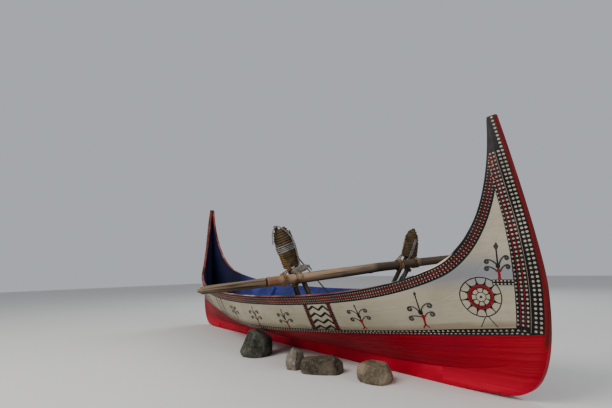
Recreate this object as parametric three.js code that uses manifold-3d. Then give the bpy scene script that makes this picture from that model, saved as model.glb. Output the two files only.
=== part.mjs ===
// A one-man rowing boat built of planks on a keel, with high upswept ends, chocked upright on a beach by stones.
// Millimetres. X runs along the keel to the bow, Y to port, Z up, with z = 0 on the ground under the keel.
import * as THREE from "three";
import { mergeVertices } from "three/addons/utils/BufferGeometryUtils.js";
import Module from "manifold-3d";

const wasm = await Module();
wasm.setup();

// Driving dimensions of the hull
const PLANK = 18; // plank thickness
const GAP = 0.3; // clearance between touching pieces
const TIP = { x: 1474, z: 1083.4 }; // leading edge at the top of the stem
const STEM_FURTHEST = { x: 1592.7, z: 395 }; // leading edge's furthest point forward
const FOREFOOT = { x: 1379.1, z: 8.8 }; // where the leading edge becomes the keel's underside
const SHEER_MID = { y: 405.2, z: 340 }; // outer top edge of the planking amidships
const SHEER_TURN = { x: 1245, z: 482.3, angle: 0.4324 }; // where the sheer turns up into the wing
const SHEER_TIP = { x: 1442.7, y: 20.5, z: 1076.9, angle: 1.5284 };
const CHINE_MID = { y: 311.9, z: 143.5 }; // knuckle between garboard and topsides, amidships
const CHINE_SPAN = 1600; // half-length over which the knuckle line's fall and rise are measured
const CHINE_FALL = 301.2; // how far it comes in over that span
const CHINE_RISE = 90.6; // how far it rises over that span
const CHINE_ROUND = 300; // half-length of its rounded middle
const KEEL_LINE_MID = { y: 42.6, z: 57.8 }; // outer lower edge of the garboard, amidships
const KEEL_LINE_END = { x: 1440, y: 30, z: 120 };
const SCARF_U = 0.8; // where the stem pieces are scarfed to the keel, as a share of the keel line
const SCARF_X = SCARF_U * KEEL_LINE_END.x;
const CHINE_V = 0.3; // v is 0 at the keel line, 1 at the sheer
const CHINE_ON_RABBET = 0.13; // where the knuckle meets the rabbet, as a share of its length
const SEAM_V = 0.0006; // half of a seam's opening, in v
const BUTT_U = 0.0003; // half of a butt's opening, in u

// Driving dimensions of the crossbar and the crutches
const BAR = { x: 553.6, z: 470.3, yaw: 0.238, rise: 0.089, half: 812 }; // centre, dx/dy, dz/dy, reach in y
const BAR_R = 27;
const LEG_R = 16;
const LEG_OFFSET = (BAR_R + LEG_R + GAP) * Math.hypot(1, BAR.yaw); // legs stand this far aft of the bar's axis

const v3 = (x, y, z) => new THREE.Vector3(x, y, z);
const lerp = THREE.MathUtils.lerp;
const materials = {
  redPaint: { color: 0xb0121f, roughness: 0.5, metalness: 0 },
  whitePaint: { color: 0xbdb6a8, roughness: 0.6, metalness: 0 },
  stemPaint: { color: 0x8a1a1a, roughness: 0.55, metalness: 0 },
  bluePaint: { color: 0x2a3f9c, roughness: 0.6, metalness: 0 },
  bareWood: { color: 0x8a6e54, roughness: 0.8, metalness: 0 },
  darkWood: { color: 0x4a3626, roughness: 0.85, metalness: 0 },
  rope: { color: 0x6d5a32, roughness: 0.95, metalness: 0 },
  paleRope: { color: 0xa8a49a, roughness: 0.95, metalness: 0 },
  stone: { color: 0x6a655c, roughness: 0.9, metalness: 0 },
};
const part = new THREE.Group();

function addMesh(name, geometry, material) {
  const mesh = new THREE.Mesh(geometry, new THREE.MeshStandardMaterial(materials[material]));
  mesh.name = name;
  part.add(mesh);
}

// Solids: a grid of points closed over its edges, and manifold joins and cuts.
function geometryOf(points, triangles) {
  const g = new THREE.BufferGeometry();
  g.setAttribute("position", new THREE.Float32BufferAttribute(points.flatMap((p) => [p.x, p.y, p.z]), 3));
  g.setIndex(triangles);
  return g;
}

function solid(geometry) {
  const plain = geometry.clone();
  plain.deleteAttribute("normal");
  plain.deleteAttribute("uv");
  const merged = mergeVertices(plain, 1e-3);
  const triVerts = new Uint32Array(merged.index.array);
  const made = new wasm.Manifold(
    new wasm.Mesh({ numProp: 3, vertProperties: merged.attributes.position.array, triVerts }),
  );
  if (made.volume() > 0) return made;
  for (let i = 0; i < triVerts.length; i += 3) {
    [triVerts[i + 1], triVerts[i + 2]] = [triVerts[i + 2], triVerts[i + 1]];
  }
  return new wasm.Manifold(
    new wasm.Mesh({ numProp: 3, vertProperties: merged.attributes.position.array, triVerts }),
  );
}

function geometryFrom(made) {
  const mesh = made.getMesh();
  const points = [];
  for (let i = 0; i < mesh.numVert; i++) {
    points.push(v3(...mesh.vertProperties.subarray(i * mesh.numProp, i * mesh.numProp + 3)));
  }
  return geometryOf(points, Array.from(mesh.triVerts));
}

// The hull's lines, on the quarter where x and y are positive
const leadingUpper = new THREE.CubicBezierCurve3(
  v3(TIP.x, 0, TIP.z), v3(TIP.x + 3, 0, TIP.z - 9),
  v3(STEM_FURTHEST.x, 0, STEM_FURTHEST.z + 150), v3(STEM_FURTHEST.x, 0, STEM_FURTHEST.z),
);
const leadingLower = new THREE.CubicBezierCurve3(
  v3(STEM_FURTHEST.x, 0, STEM_FURTHEST.z), v3(STEM_FURTHEST.x, 0, STEM_FURTHEST.z - 384),
  v3(FOREFOOT.x + 90.9, 0, FOREFOOT.z + 1.1), v3(FOREFOOT.x, 0, FOREFOOT.z),
);
const forefootRise = new THREE.QuadraticBezierCurve3(
  v3(FOREFOOT.x, 0, FOREFOOT.z), v3(FOREFOOT.x - 110, 0, 0), v3(SCARF_X, 0, 0),
);
const RABBET_TURN = v3(1505, 46, 437);
const rabbet = new THREE.CurvePath();
rabbet.add(new THREE.CubicBezierCurve3(
  v3(KEEL_LINE_END.x, KEEL_LINE_END.y, KEEL_LINE_END.z), v3(1488, 33, 148), v3(1505, 46, 287), RABBET_TURN,
));
rabbet.add(new THREE.CubicBezierCurve3(
  RABBET_TURN, v3(1505, 46, 687), v3(1474, 27, 975), v3(SHEER_TIP.x, SHEER_TIP.y, SHEER_TIP.z),
));
const sheerSide = new THREE.CurvePath(); // side view only
sheerSide.add(new THREE.CubicBezierCurve3(
  v3(0, 0, SHEER_MID.z), v3(700.3, 0, SHEER_MID.z),
  v3(SHEER_TURN.x - 227.3 * Math.cos(SHEER_TURN.angle), 0, SHEER_TURN.z - 227.3 * Math.sin(SHEER_TURN.angle)),
  v3(SHEER_TURN.x, 0, SHEER_TURN.z),
));
sheerSide.add(new THREE.CubicBezierCurve3(
  v3(SHEER_TURN.x, 0, SHEER_TURN.z),
  v3(SHEER_TURN.x + 227.3 * Math.cos(SHEER_TURN.angle), 0, SHEER_TURN.z + 227.3 * Math.sin(SHEER_TURN.angle)),
  v3(SHEER_TIP.x - 81.6 * Math.cos(SHEER_TIP.angle), 0, SHEER_TIP.z - 81.6 * Math.sin(SHEER_TIP.angle)),
  v3(SHEER_TIP.x, 0, SHEER_TIP.z),
));
const garboardMid = new THREE.QuadraticBezierCurve3(
  v3(0, KEEL_LINE_MID.y, KEEL_LINE_MID.z), v3(0, 195, 84), v3(0, CHINE_MID.y, CHINE_MID.z),
);
const topsideMid = new THREE.QuadraticBezierCurve3(
  v3(0, CHINE_MID.y, CHINE_MID.z), v3(0, 370, 222), v3(0, SHEER_MID.y, SHEER_MID.z),
);

const keelLine = (u) => v3(
  KEEL_LINE_END.x * u,
  lerp(KEEL_LINE_MID.y, KEEL_LINE_END.y, u ** 4),
  lerp(KEEL_LINE_MID.z, KEEL_LINE_END.z, u ** 7),
);

function sheer(u) {
  const p = sheerSide.getPoint(0.73 * u + 0.27 * u ** 4);
  const share = Math.min(p.x / SHEER_TIP.x, 1);
  p.y = SHEER_TIP.y + (SHEER_MID.y - SHEER_TIP.y) * (1 - share ** 1.8687) ** 0.6515;
  return p;
}

const chineEnd = rabbet.getPoint(CHINE_ON_RABBET);
const chineShare = (x) =>
  (Math.hypot(x, CHINE_ROUND) - CHINE_ROUND) / (Math.hypot(CHINE_SPAN, CHINE_ROUND) - CHINE_ROUND);
const chineLaw = (x) => v3(
  x, CHINE_MID.y - CHINE_FALL * chineShare(x), CHINE_MID.z + CHINE_RISE * chineShare(x),
);
const chineMiss = chineEnd.clone().sub(chineLaw(chineEnd.x));
const chine = (u) => chineLaw(chineEnd.x * u).addScaledVector(chineMiss, u ** 8);

// A Coons patch: the four edge curves are blended, and the corners taken off once.
function coons(bottom, top, left, right, u, v) {
  const p = bottom(u).multiplyScalar(1 - v).addScaledVector(top(u), v);
  p.addScaledVector(left(v), 1 - u).addScaledVector(right(v), u);
  p.addScaledVector(bottom(0), -(1 - u) * (1 - v)).addScaledVector(bottom(1), -u * (1 - v));
  return p.addScaledVector(top(0), -(1 - u) * v).addScaledVector(top(1), -u * v);
}

// The hull's outside. u runs from the stern's rabbet (-1) to the bow's (1), v from the keel line to the sheer.
function hullPoint(u, v, side) {
  const a = Math.abs(u);
  const p = v < CHINE_V
    ? coons(keelLine, chine, (w) => garboardMid.getPoint(w), (w) => rabbet.getPoint(CHINE_ON_RABBET * w),
      a, v / CHINE_V)
    : coons(chine, sheer, (w) => topsideMid.getPoint(w),
      (w) => rabbet.getPoint(lerp(CHINE_ON_RABBET, 1, w)), a, (v - CHINE_V) / (1 - CHINE_V));
  return v3(u < 0 ? -p.x : p.x, side * p.y, p.z);
}

// The step inwards, across the boat, that goes one millimetre deep square to the planking
function inward(u, v, side) {
  const step = 0.004;
  const du = hullPoint(Math.min(u + step, 1), v, side).sub(hullPoint(Math.max(u - step, -1), v, side));
  const dv = hullPoint(u, Math.min(v + step, 1), side).sub(hullPoint(u, Math.max(v - step, 0), side));
  const square = du.cross(dv).normalize().multiplyScalar(side);
  const across = Math.hypot(square.y, square.z);
  return v3(0, square.y, square.z).divideScalar(across * across);
}

// Stations along the hull, closer together in the ends
const MIDDLE_STEP = 0.05;
const END_STEP = 0.025;
const END_FROM = 0.6;
const bowStations = [];
for (let u = MIDDLE_STEP; u < END_FROM - 0.01; u += MIDDLE_STEP) bowStations.push(u);
for (let u = END_FROM; u < 1.01; u += END_STEP) bowStations.push(Math.min(u, 1));
const stations = [...bowStations.map((u) => -u).reverse(), 0, ...bowStations];
const stationsBetween = (u0, u1) => stations.filter((u) => u > u0 - 0.004 && u < u1 + 0.004);

// Strakes: lower and upper v, where their two butts are in u, rows of facets, paint
const strakes = [
  { name: "garboard", v0: 0, v1: CHINE_V, butt: 0.4, rows: 4, paint: "redPaint" },
  { name: "middle_strake", v0: CHINE_V, v1: 0.66, butt: 0.3, rows: 4, paint: "whitePaint" },
  { name: "sheer_strake", v0: 0.66, v1: 1, butt: 0.35, rows: 5, paint: "whitePaint" },
];
const rowsOf = ({ v0, v1, rows }) => Array.from({ length: rows + 1 }, (_, i) => lerp(v0, v1, i / rows));
const allRows = [...new Set(strakes.flatMap(rowsOf))];
const sides = [{ name: "starboard", side: -1 }, { name: "port", side: 1 }];

// Triangles between rings of equal counts; in the quads that otherWay lists, the diagonal runs the other way.
function wallsBetween(rings, otherWay = []) {
  const n = rings[0].length;
  const tris = [];
  for (let r = 0; r < rings.length - 1; r++) {
    for (let i = 0; i < n; i++) {
      const a = r * n + i;
      const b = r * n + ((i + 1) % n);
      tris.push(...(otherWay.includes(i) ? [a, b, a + n, b, b + n, a + n] : [a, b, b + n, a, b + n, a + n]));
    }
  }
  return tris;
}

// A closed tube of rings; its two ends are fans about the ring's middle.
function loft(rings, otherWay) {
  const n = rings[0].length;
  const points = rings.flat();
  const tris = wallsBetween(rings, otherWay);
  for (const [ring, start, flip] of [[rings[0], 0, true], [rings.at(-1), (rings.length - 1) * n, false]]) {
    const middle = ring.reduce((sum, p) => sum.add(p), v3(0, 0, 0)).divideScalar(n);
    points.push(middle);
    for (let i = 0; i < n; i++) {
      const edge = [start + i, start + ((i + 1) % n)];
      tris.push(...(flip ? edge.reverse() : edge), points.length - 1);
    }
  }
  return solid(geometryOf(points, tris));
}

// A closed shell of the hull over a list of u and a list of v, between two depths. Its outer edges stand back
// by seam and butt, but keep the directions of the seam itself, so that neighbours' edges stay parallel.
function hullShell(us, vs, side, outer, inner, seam = 0, butt = 0) {
  const clampU = (u) => THREE.MathUtils.clamp(u, us[0] + butt, us.at(-1) - butt);
  const clampV = (v) => THREE.MathUtils.clamp(v, vs[0] + seam, vs.at(-1) - (vs.at(-1) === 1 ? 0 : seam));
  const at = (u, v, depth) => hullPoint(clampU(u), clampV(v), side).addScaledVector(inward(u, v, side), depth);
  const rings = us.map((u) => [
    ...vs.map((v) => at(u, v, outer)),
    ...vs.map((v) => at(u, v, inner)).reverse(),
  ]);
  const n = rings[0].length;
  const rows = vs.length - 1;
  const tris = wallsBetween(rings, [rows]);
  for (const [start, flip] of [[0, true], [(rings.length - 1) * n, false]]) {
    for (let i = 0; i < rows; i++) {
      const quad = [start + i, start + i + 1, start + n - 2 - i, start + n - 1 - i];
      if (flip) quad.reverse();
      tris.push(quad[0], quad[1], quad[2], quad[0], quad[2], quad[3]);
    }
  }
  return solid(geometryOf(rings.flat(), tris));
}

function addStrakes() {
  for (const strake of strakes) {
    const lengths = [["stern", -1, -strake.butt], ["waist", -strake.butt, strake.butt], ["bow", strake.butt, 1]];
    for (const { name: sideName, side } of sides) {
      for (const [length, u0, u1] of lengths) {
        const us = stationsBetween(u0, u1);
        const shell = hullShell(us, rowsOf(strake), side, 0, PLANK, SEAM_V, BUTT_U);
        addMesh(`${strake.name}_${sideName}_${length}`, geometryFrom(shell), strake.paint);
      }
    }
  }
}

// Half a ring of the keel: its underside, a small bevel, the garboard's outer edge and that edge's inner corner
const BOTTOM_HALF = 40;
const SCARF_HALF = 36;
const BEVEL = { out: 2, up: 8 };

function keelRing(u) {
  const x = KEEL_LINE_END.x * u;
  const half = lerp(BOTTOM_HALF, SCARF_HALF, (u / SCARF_U) ** 2);
  const corners = (side) => [
    v3(x, side * half, 0), v3(x, side * (half + BEVEL.out), BEVEL.up),
    hullPoint(u, 0, side), hullPoint(u, 0, side).addScaledVector(inward(u, 0, side), PLANK),
  ];
  return [...corners(1), ...corners(-1).reverse()];
}

function addKeel() {
  const us = stationsBetween(-SCARF_U, SCARF_U);
  us[0] += BUTT_U;
  us[us.length - 1] -= BUTT_U;
  addMesh("keel", geometryFrom(loft(us.map(keelRing), [2])), "redPaint");
}

// A stem piece: from the scarf along the forefoot and up to the tip. Each ring goes from the leading edge
// over a bevel to the rabbet; the rabbet's points are the planks' own.
const NOSE = { tip: 6, turn: 8, corner: 15 }; // half-widths of the leading edge
const NOSE_BEVEL = { run: 14, rise: 8 };
const CORNER_T = 0.55; // leadingLower's parameter opposite the rabbet's lower end
const TURN_SHARE = 0.295; // the rabbet's share that lies below its turn
const FOREFOOT_SHARE = 0.6; // of the stem's lower arm, how much runs round the forefoot

function stemRing(edge, nose, back, inner) {
  const reach = back.clone().sub(edge);
  const bevel = edge.clone().addScaledVector(reach, NOSE_BEVEL.run / Math.hypot(reach.x, reach.z));
  const corners = (side) => [
    v3(edge.x, side * nose, edge.z), v3(bevel.x, side * (nose + NOSE_BEVEL.rise), bevel.z),
    v3(back.x, side * back.y, back.z), v3(inner.x, side * inner.y, inner.z),
  ];
  return [...corners(1), ...corners(-1).reverse()];
}

function stemRings() {
  const rings = [];
  for (const u of stationsBetween(SCARF_U, 0.99)) {
    const t = (u - SCARF_U) / (1 - SCARF_U); // 0 at the scarf, 1 at the corner
    const edge = t < 1 - FOREFOOT_SHARE
      ? forefootRise.getPoint(1 - t / (1 - FOREFOOT_SHARE))
      : leadingLower.getPoint(1 - ((1 - CORNER_T) * (t - 1 + FOREFOOT_SHARE)) / FOREFOOT_SHARE);
    const inner = hullPoint(u, 0, 1).addScaledVector(inward(u, 0, 1), PLANK);
    rings.push(stemRing(edge, lerp(SCARF_HALF, NOSE.corner, t), hullPoint(u, 0, 1), inner));
  }
  for (const v of allRows) {
    const s = v < CHINE_V
      ? CHINE_ON_RABBET * (v / CHINE_V)
      : lerp(CHINE_ON_RABBET, 1, (v - CHINE_V) / (1 - CHINE_V));
    const back = rabbet.getPoint(s);
    const above = (s - TURN_SHARE) / (1 - TURN_SHARE);
    const edge = above < 0
      ? leadingLower.getPoint(CORNER_T * (1 - s / TURN_SHARE))
      : leadingUpper.getPointAt(1 - above);
    const nose = above < 0 ? lerp(NOSE.corner, NOSE.turn, s / TURN_SHARE) : lerp(NOSE.turn, NOSE.tip, above);
    rings.push(stemRing(edge, nose, back, v3(back.x, back.y * 0.5, back.z)));
  }
  return rings;
}

function addStem(name, end) {
  const rings = stemRings();
  if (end < 0) {
    rings.forEach((ring) => ring.forEach((p) => p.setX(-p.x)));
    rings.reverse();
  }
  addMesh(name, geometryFrom(loft(rings, [2])), "stemPaint");
}

// What is cut off a piece that stands inside the hull: shells that reach from well outside to the planks' inside
const CUT_OUTSIDE = -60;
const insideCuts = sides.map(({ side }) =>
  hullShell(stationsBetween(-0.7, 0.7), allRows, side, CUT_OUTSIDE, PLANK + GAP));
const cutToHull = (made) => insideCuts.reduce((left, cut) => left.subtract(cut), made);

// A box between two corners
function box(low, high) {
  const size = high.clone().sub(low);
  const g = new THREE.BoxGeometry(size.x, size.y, size.z);
  const middle = low.clone().add(high).multiplyScalar(0.5);
  return solid(g.translate(middle.x, middle.y, middle.z));
}

// Frames: x of the middle, width along the boat
const frames = [
  { name: "frame_bow", x: 760, width: 40 },
  { name: "frame_waist", x: -60, width: 44 },
  { name: "frame_stern", x: -760, width: 40 },
];
const FRAME = { depth: 26, topRow: 0.864, floorHalf: 84, floorTop: 132 };

function addFrames() {
  const keelTop = hullPoint(0, 0, 1).addScaledVector(inward(0, 0, 1), PLANK).z;
  for (const { name, x, width } of frames) {
    const slab = box(v3(x - width / 2, -450, 0), v3(x + width / 2, 450, 500));
    const u = x / KEEL_LINE_END.x;
    const us = stationsBetween(u - 0.12, u + 0.12);
    const vs = allRows.filter((v) => v < FRAME.topRow + 0.001);
    const arms = sides.map(({ side }) =>
      hullShell(us, vs, side, PLANK + GAP, PLANK + GAP + FRAME.depth));
    const floor = box(
      v3(x - width / 2, -FRAME.floorHalf, keelTop + 1), v3(x + width / 2, FRAME.floorHalf, FRAME.floorTop),
    );
    const made = arms[0].add(arms[1]).intersect(slab).add(floor);
    addMesh(name, geometryFrom(cutToHull(made)), "bluePaint");
  }
}

// A round stick through a list of points, each with its radius
function stick(points, radii, sideCount = 12) {
  const rings = points.map((p, i) => {
    const ahead = points[Math.min(i + 1, points.length - 1)];
    const along = ahead.clone().sub(points[Math.max(i - 1, 0)]).normalize();
    const a = v3(1, 0, 0).addScaledVector(along, -along.x).normalize();
    const b = along.clone().cross(a);
    return Array.from({ length: sideCount }, (_, k) => {
      const turn = (2 * Math.PI * k) / sideCount;
      return p.clone().addScaledVector(a, radii[i] * Math.cos(turn)).addScaledVector(b, radii[i] * Math.sin(turn));
    });
  });
  return loft(rings);
}

const SEAT = { x: -60, width: 190, z: 200, thick: 24, half: 372 };
const BRACE = { x: -620, z: 225, r: 17, half: 290 };
const HOUSING = 0.8; // clearance where the seat is housed over the frame

function addSeatAndBrace() {
  const seat = box(
    v3(SEAT.x - SEAT.width / 2, -SEAT.half, SEAT.z), v3(SEAT.x + SEAT.width / 2, SEAT.half, SEAT.z + SEAT.thick),
  );
  const us = stationsBetween(SEAT.x / KEEL_LINE_END.x - 0.12, SEAT.x / KEEL_LINE_END.x + 0.12);
  const halfWide = frames[1].width / 2 + GAP;
  const slab = box(v3(SEAT.x - halfWide, -450, 0), v3(SEAT.x + halfWide, 450, 500));
  let cut = cutToHull(seat);
  for (const { side } of sides) {
    cut = cut.subtract(hullShell(us, allRows, side, 0, PLANK + FRAME.depth + HOUSING).intersect(slab));
  }
  addMesh("seat", geometryFrom(cut), "bluePaint");
  const brace = stick([v3(BRACE.x, -BRACE.half, BRACE.z), v3(BRACE.x, BRACE.half, BRACE.z)], [BRACE.r, BRACE.r]);
  addMesh("foot_brace", geometryFrom(cutToHull(brace)), "darkWood");
}

// The crossbar's axis at a given y, and its radius: y as a share of its reach, radius
const barAt = (y) => v3(BAR.x + BAR.yaw * y, y, BAR.z + BAR.rise * y);
const barProfile = [
  [-1, 7], [-0.985, 11], [-0.98, 18], [-0.93, 21], [-0.7, 24], [-0.48, BAR_R], [0.48, BAR_R], [0.75, 23],
  [0.93, 17], [0.98, 13], [1, 7],
];
const barSolid = (extra = 0) =>
  stick(barProfile.map(([share]) => barAt(share * BAR.half)), barProfile.map(([, r]) => r + extra));

// Crutches: y at topZ and slope of the outer leg, the inner leg and the winding's axis, the heights where each
// leg ends in the planks and where the inner one ends inside the winding, where a crooked leg bends and its slope
// below that, the rope winding's span and half-widths from bottom to top. The stay has its angle round the
// winding at three shares of its height, in degrees from inboard to forward, its place behind the bar, its foot.
const crutches = [
  {
    name: "starboard", side: -1, topZ: 712, outer: { y: 401, slope: 0.328, end: 100 },
    inner: { y: 381, slope: 0.447, end: 75, top: 690 }, axis: { y: 380, slope: 0.3 }, wound: [503, 708],
    halfWidths: [46, 48, 50, 54, 54, 44, 36],
    stay: { shares: [0.9, 0.5, 0.15], turns: [0, 0, 0], crossing: 200, footY: -135, footZ: 94, footAft: 32 },
  },
  {
    name: "port", side: 1, topZ: 717, outer: { y: 472, slope: 0.23, end: 100, top: 718, bend: [480, 0.78] },
    inner: { y: 522, slope: 0.67, end: 75, top: 592, bend: [395, 0.76] }, axis: { y: 466, slope: 0.22 },
    wound: [541, 712], halfWidths: [51, 50, 48, 46, 40, 25, 16],
    stay: {
      shares: [0.75, 0.3, 0.03], turns: [100, 77, 69], crossing: 402.5, footY: 190, footZ: 130, footAft: -60,
    },
  },
];
const windingShares = [0, 0.08, 0.3, 0.5, 0.75, 0.92, 1];
const windingDepths = [34, 38, 42, 44, 38, 27, 18];
const LEG_ABOVE = 16; // how far the outer leg stands out of the winding
const WAD = { y: -281, above: 45, forward: 22, half: { along: 52, across: 15, up: 16 }, turn: 0.29 };
const STAY = { r: 6, sunk: 1.5 };
const LASH = { r: 6, half: 26, above: 34, below: 40 };

// A point of a crutch's plane, which stands parallel to the crossbar, or so far forward of it
const crutchPoint = (y, z, forward = 0) => v3(BAR.x + BAR.yaw * y - LEG_OFFSET + forward, y, z);
const legAt = (crutch, leg, z) => {
  const [bendZ, lowSlope] = leg.bend ?? [0, leg.slope];
  const bent = (lowSlope - leg.slope) * Math.max(bendZ - z, 0);
  return crutchPoint(crutch.side * (leg.y - leg.slope * (crutch.topZ - z) - bent), z);
};

function legSolid(crutch, leg, extra = 0) {
  const top = leg.top ?? crutch.wound[1] + LEG_ABOVE;
  const heights = [top + extra, ...(leg.bend ? [leg.bend[0]] : []), leg.end];
  const radii = heights.map((z) => lerp(LEG_R, LEG_R * 0.75, (z - leg.end) / (top - leg.end)) + extra);
  return stick(heights.map((z) => legAt(crutch, leg, z)), radii);
}

// The winding's axis; wide is square to it in the crutch's plane, inboard.
function windingAxes(crutch) {
  const middleAt = (share) => legAt(crutch, crutch.axis, lerp(...crutch.wound, share));
  const along = middleAt(1).sub(middleAt(0)).normalize();
  const across = v3(1, -BAR.yaw, 0).normalize();
  const wide = along.clone().cross(across);
  if (wide.y * crutch.side > 0) wide.negate();
  return { middleAt, across, wide };
}

function windingSolid(crutch, extra = 0) {
  const { middleAt, across, wide } = windingAxes(crutch);
  return loft(windingShares.map((share, i) => {
    const a = crutch.halfWidths[i] + extra;
    const b = windingDepths[i] + extra;
    return Array.from({ length: 16 }, (_, k) => {
      const turn = (Math.PI * k) / 8;
      return middleAt(share).addScaledVector(wide, a * Math.cos(turn)).addScaledVector(across, b * Math.sin(turn));
    });
  }));
}

// The stay runs down the winding's outside, behind the crossbar and down to the bilge.
function staySolid(crutch, extra = 0) {
  const { middleAt, across, wide } = windingAxes(crutch);
  const { shares, turns, crossing, footY, footZ, footAft } = crutch.stay;
  const sizeAt = (sizes, share) => {
    const i = windingShares.findIndex((s) => s >= share);
    const between = (share - windingShares[i - 1]) / (windingShares[i] - windingShares[i - 1]);
    return lerp(sizes[i - 1], sizes[i], between) + STAY.r - STAY.sunk;
  };
  const crossingY = crutch.side * crossing;
  const points = [
    ...shares.map((share, i) => {
      const turn = THREE.MathUtils.degToRad(turns[i]);
      return middleAt(share).addScaledVector(wide, sizeAt(crutch.halfWidths, share) * Math.cos(turn))
        .addScaledVector(across, sizeAt(windingDepths, share) * Math.sin(turn));
    }),
    crutchPoint(crossingY, barAt(crossingY).z, LEG_OFFSET - (BAR_R + STAY.r + GAP) * Math.hypot(1, BAR.yaw)),
    crutchPoint(crutch.side * footY, footZ, -footAft),
  ];
  return stick(points, points.map(() => STAY.r + extra), 8);
}

const largestOf = (made) => made.decompose().reduce((a, b) => (a.volume() > b.volume() ? a : b));

function addCrutch(crutch) {
  const { name, outer, inner } = crutch;
  const legs = [["outer", outer], ["inner", inner]];
  const clearOfLegs = (made) => legs.reduce((left, [, leg]) => left.subtract(legSolid(crutch, leg, GAP)), made);
  const leaning = legSolid(crutch, inner).subtract(legSolid(crutch, outer, GAP));
  addMesh(`crutch_${name}_outer_leg`, geometryFrom(cutToHull(legSolid(crutch, outer))), "darkWood");
  addMesh(`crutch_${name}_inner_leg`, geometryFrom(largestOf(cutToHull(leaning))), "darkWood");
  addMesh(`winding_${name}`, geometryFrom(clearOfLegs(windingSolid(crutch))), "rope");

  const crossingZ = barAt(legAt(crutch, outer, BAR.z).y).z;
  const crossing = legAt(crutch, outer, crossingZ);
  const lashing = stick(
    [barAt(crossing.y - LASH.half), barAt(crossing.y + LASH.half)], [BAR_R + LASH.r, BAR_R + LASH.r],
  ).add(stick(
    [legAt(crutch, outer, crossingZ + LASH.above), legAt(crutch, outer, crossingZ - LASH.below)],
    [LEG_R + LASH.r, LEG_R + LASH.r],
  ));
  const clearOfOthers = (made) => [barSolid(GAP), windingSolid(crutch, GAP), staySolid(crutch, GAP)]
    .reduce((left, cut) => left.subtract(cut), clearOfLegs(made));
  const tied = clearOfOthers(lashing);
  addMesh(`lashing_${name}`, geometryFrom(largestOf(tied)), "paleRope");

  const stay = clearOfLegs(staySolid(crutch)).subtract(barSolid(GAP)).subtract(windingSolid(crutch, GAP));
  addMesh(`stay_${name}`, geometryFrom(largestOf(cutToHull(stay))), "paleRope");

  if (crutch.side * WAD.y < 0) return;
  const wadShape = new THREE.SphereGeometry(1, 12, 8);
  wadShape.scale(WAD.half.across, WAD.half.along, WAD.half.up).rotateX(WAD.turn);
  const middle = crutchPoint(WAD.y, barAt(WAD.y).z + WAD.above, WAD.forward);
  const wad = clearOfOthers(solid(wadShape.translate(middle.x, middle.y, middle.z))).subtract(lashing);
  addMesh(`wad_${name}`, geometryFrom(largestOf(wad)), "paleRope");
}

// The stones on the starboard side: middle, half-sizes, turn about Z, how blocky (1 is round) and lumpy.
// Only the first bears on the planks; it is cut to them.
const stones = [
  { name: "chock_stone", x: 96, y: -351, z: 58, half: [85, 98, 86], turn: 0.35, block: 0.6, lumps: 0.07 },
  { name: "beach_stone_1", x: 515, y: -362, z: 36, half: [45, 42, 64], turn: 0.5, block: 0.62, lumps: 0.09 },
  { name: "beach_stone_2", x: 669, y: -306, z: 27, half: [107, 54, 51], turn: 0.66, block: 0.75, lumps: 0.07 },
  { name: "beach_stone_3", x: 940, y: -225, z: 33, half: [79, 66, 50], turn: 0.2, block: 0.9, lumps: 0.05 },
];

function addStones() {
  const ground = box(v3(-2000, -2000, -500), v3(2000, 2000, 0));
  const hullCut = hullShell(stationsBetween(-0.3, 0.5), allRows, -1, -GAP, 100);
  for (const [index, stone] of stones.entries()) {
    const shape = new THREE.IcosahedronGeometry(1, 3);
    const position = shape.getAttribute("position");
    const p = v3(0, 0, 0);
    for (let i = 0; i < position.count; i++) {
      p.fromBufferAttribute(position, i);
      const lump = Math.sin(3.1 * p.x + 1.3 * index + 1.3) * Math.cos(2.7 * p.y - 0.6 + index);
      const skew = 1 + stone.lumps * (lump - p.x * p.z);
      for (const axis of ["x", "y", "z"]) p[axis] = Math.sign(p[axis]) * Math.abs(p[axis]) ** stone.block;
      p.multiplyScalar(skew / lerp(1, p.length(), 0.45));
      position.setXYZ(i, p.x, p.y, p.z);
    }
    shape.scale(...stone.half).rotateZ(stone.turn).translate(stone.x, stone.y, stone.z);
    const made = solid(shape).subtract(ground);
    addMesh(stone.name, geometryFrom(index === 0 ? made.subtract(hullCut) : made), "stone");
  }
}

addStrakes();
addKeel();
addStem("stem_bow", 1);
addStem("stem_stern", -1);
addFrames();
addSeatAndBrace();
addMesh("crossbar", geometryFrom(barSolid()), "bareWood");
crutches.forEach(addCrutch);
addStones();

export default part;
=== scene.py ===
import math

import bmesh
import bpy
import numpy as np
from mathutils import Matrix, Vector, noise


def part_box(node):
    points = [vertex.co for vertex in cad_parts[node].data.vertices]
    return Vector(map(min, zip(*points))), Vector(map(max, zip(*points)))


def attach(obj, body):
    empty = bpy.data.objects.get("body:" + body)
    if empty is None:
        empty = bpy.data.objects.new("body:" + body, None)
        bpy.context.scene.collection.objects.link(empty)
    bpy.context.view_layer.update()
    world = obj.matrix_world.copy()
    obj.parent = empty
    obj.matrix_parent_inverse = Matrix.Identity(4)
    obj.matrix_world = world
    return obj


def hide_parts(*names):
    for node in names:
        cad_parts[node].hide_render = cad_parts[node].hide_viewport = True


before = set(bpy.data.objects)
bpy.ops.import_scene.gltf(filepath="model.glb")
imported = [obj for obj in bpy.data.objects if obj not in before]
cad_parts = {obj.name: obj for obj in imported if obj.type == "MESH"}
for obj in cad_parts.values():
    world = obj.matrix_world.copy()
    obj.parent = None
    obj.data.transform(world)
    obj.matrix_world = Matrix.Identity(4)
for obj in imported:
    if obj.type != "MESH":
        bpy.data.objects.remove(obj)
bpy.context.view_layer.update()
print("frame loaded:", len(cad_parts), "nodes")

# The camera's place in metres, its turns in radians, and its lens and sensor in millimetres
view = dict(place=(2.3014, -1.5375, 0.4932), yaw=0.9527, pitch=0.1563, roll=-0.0275, lens=24.0, sensor=36.0)


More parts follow.
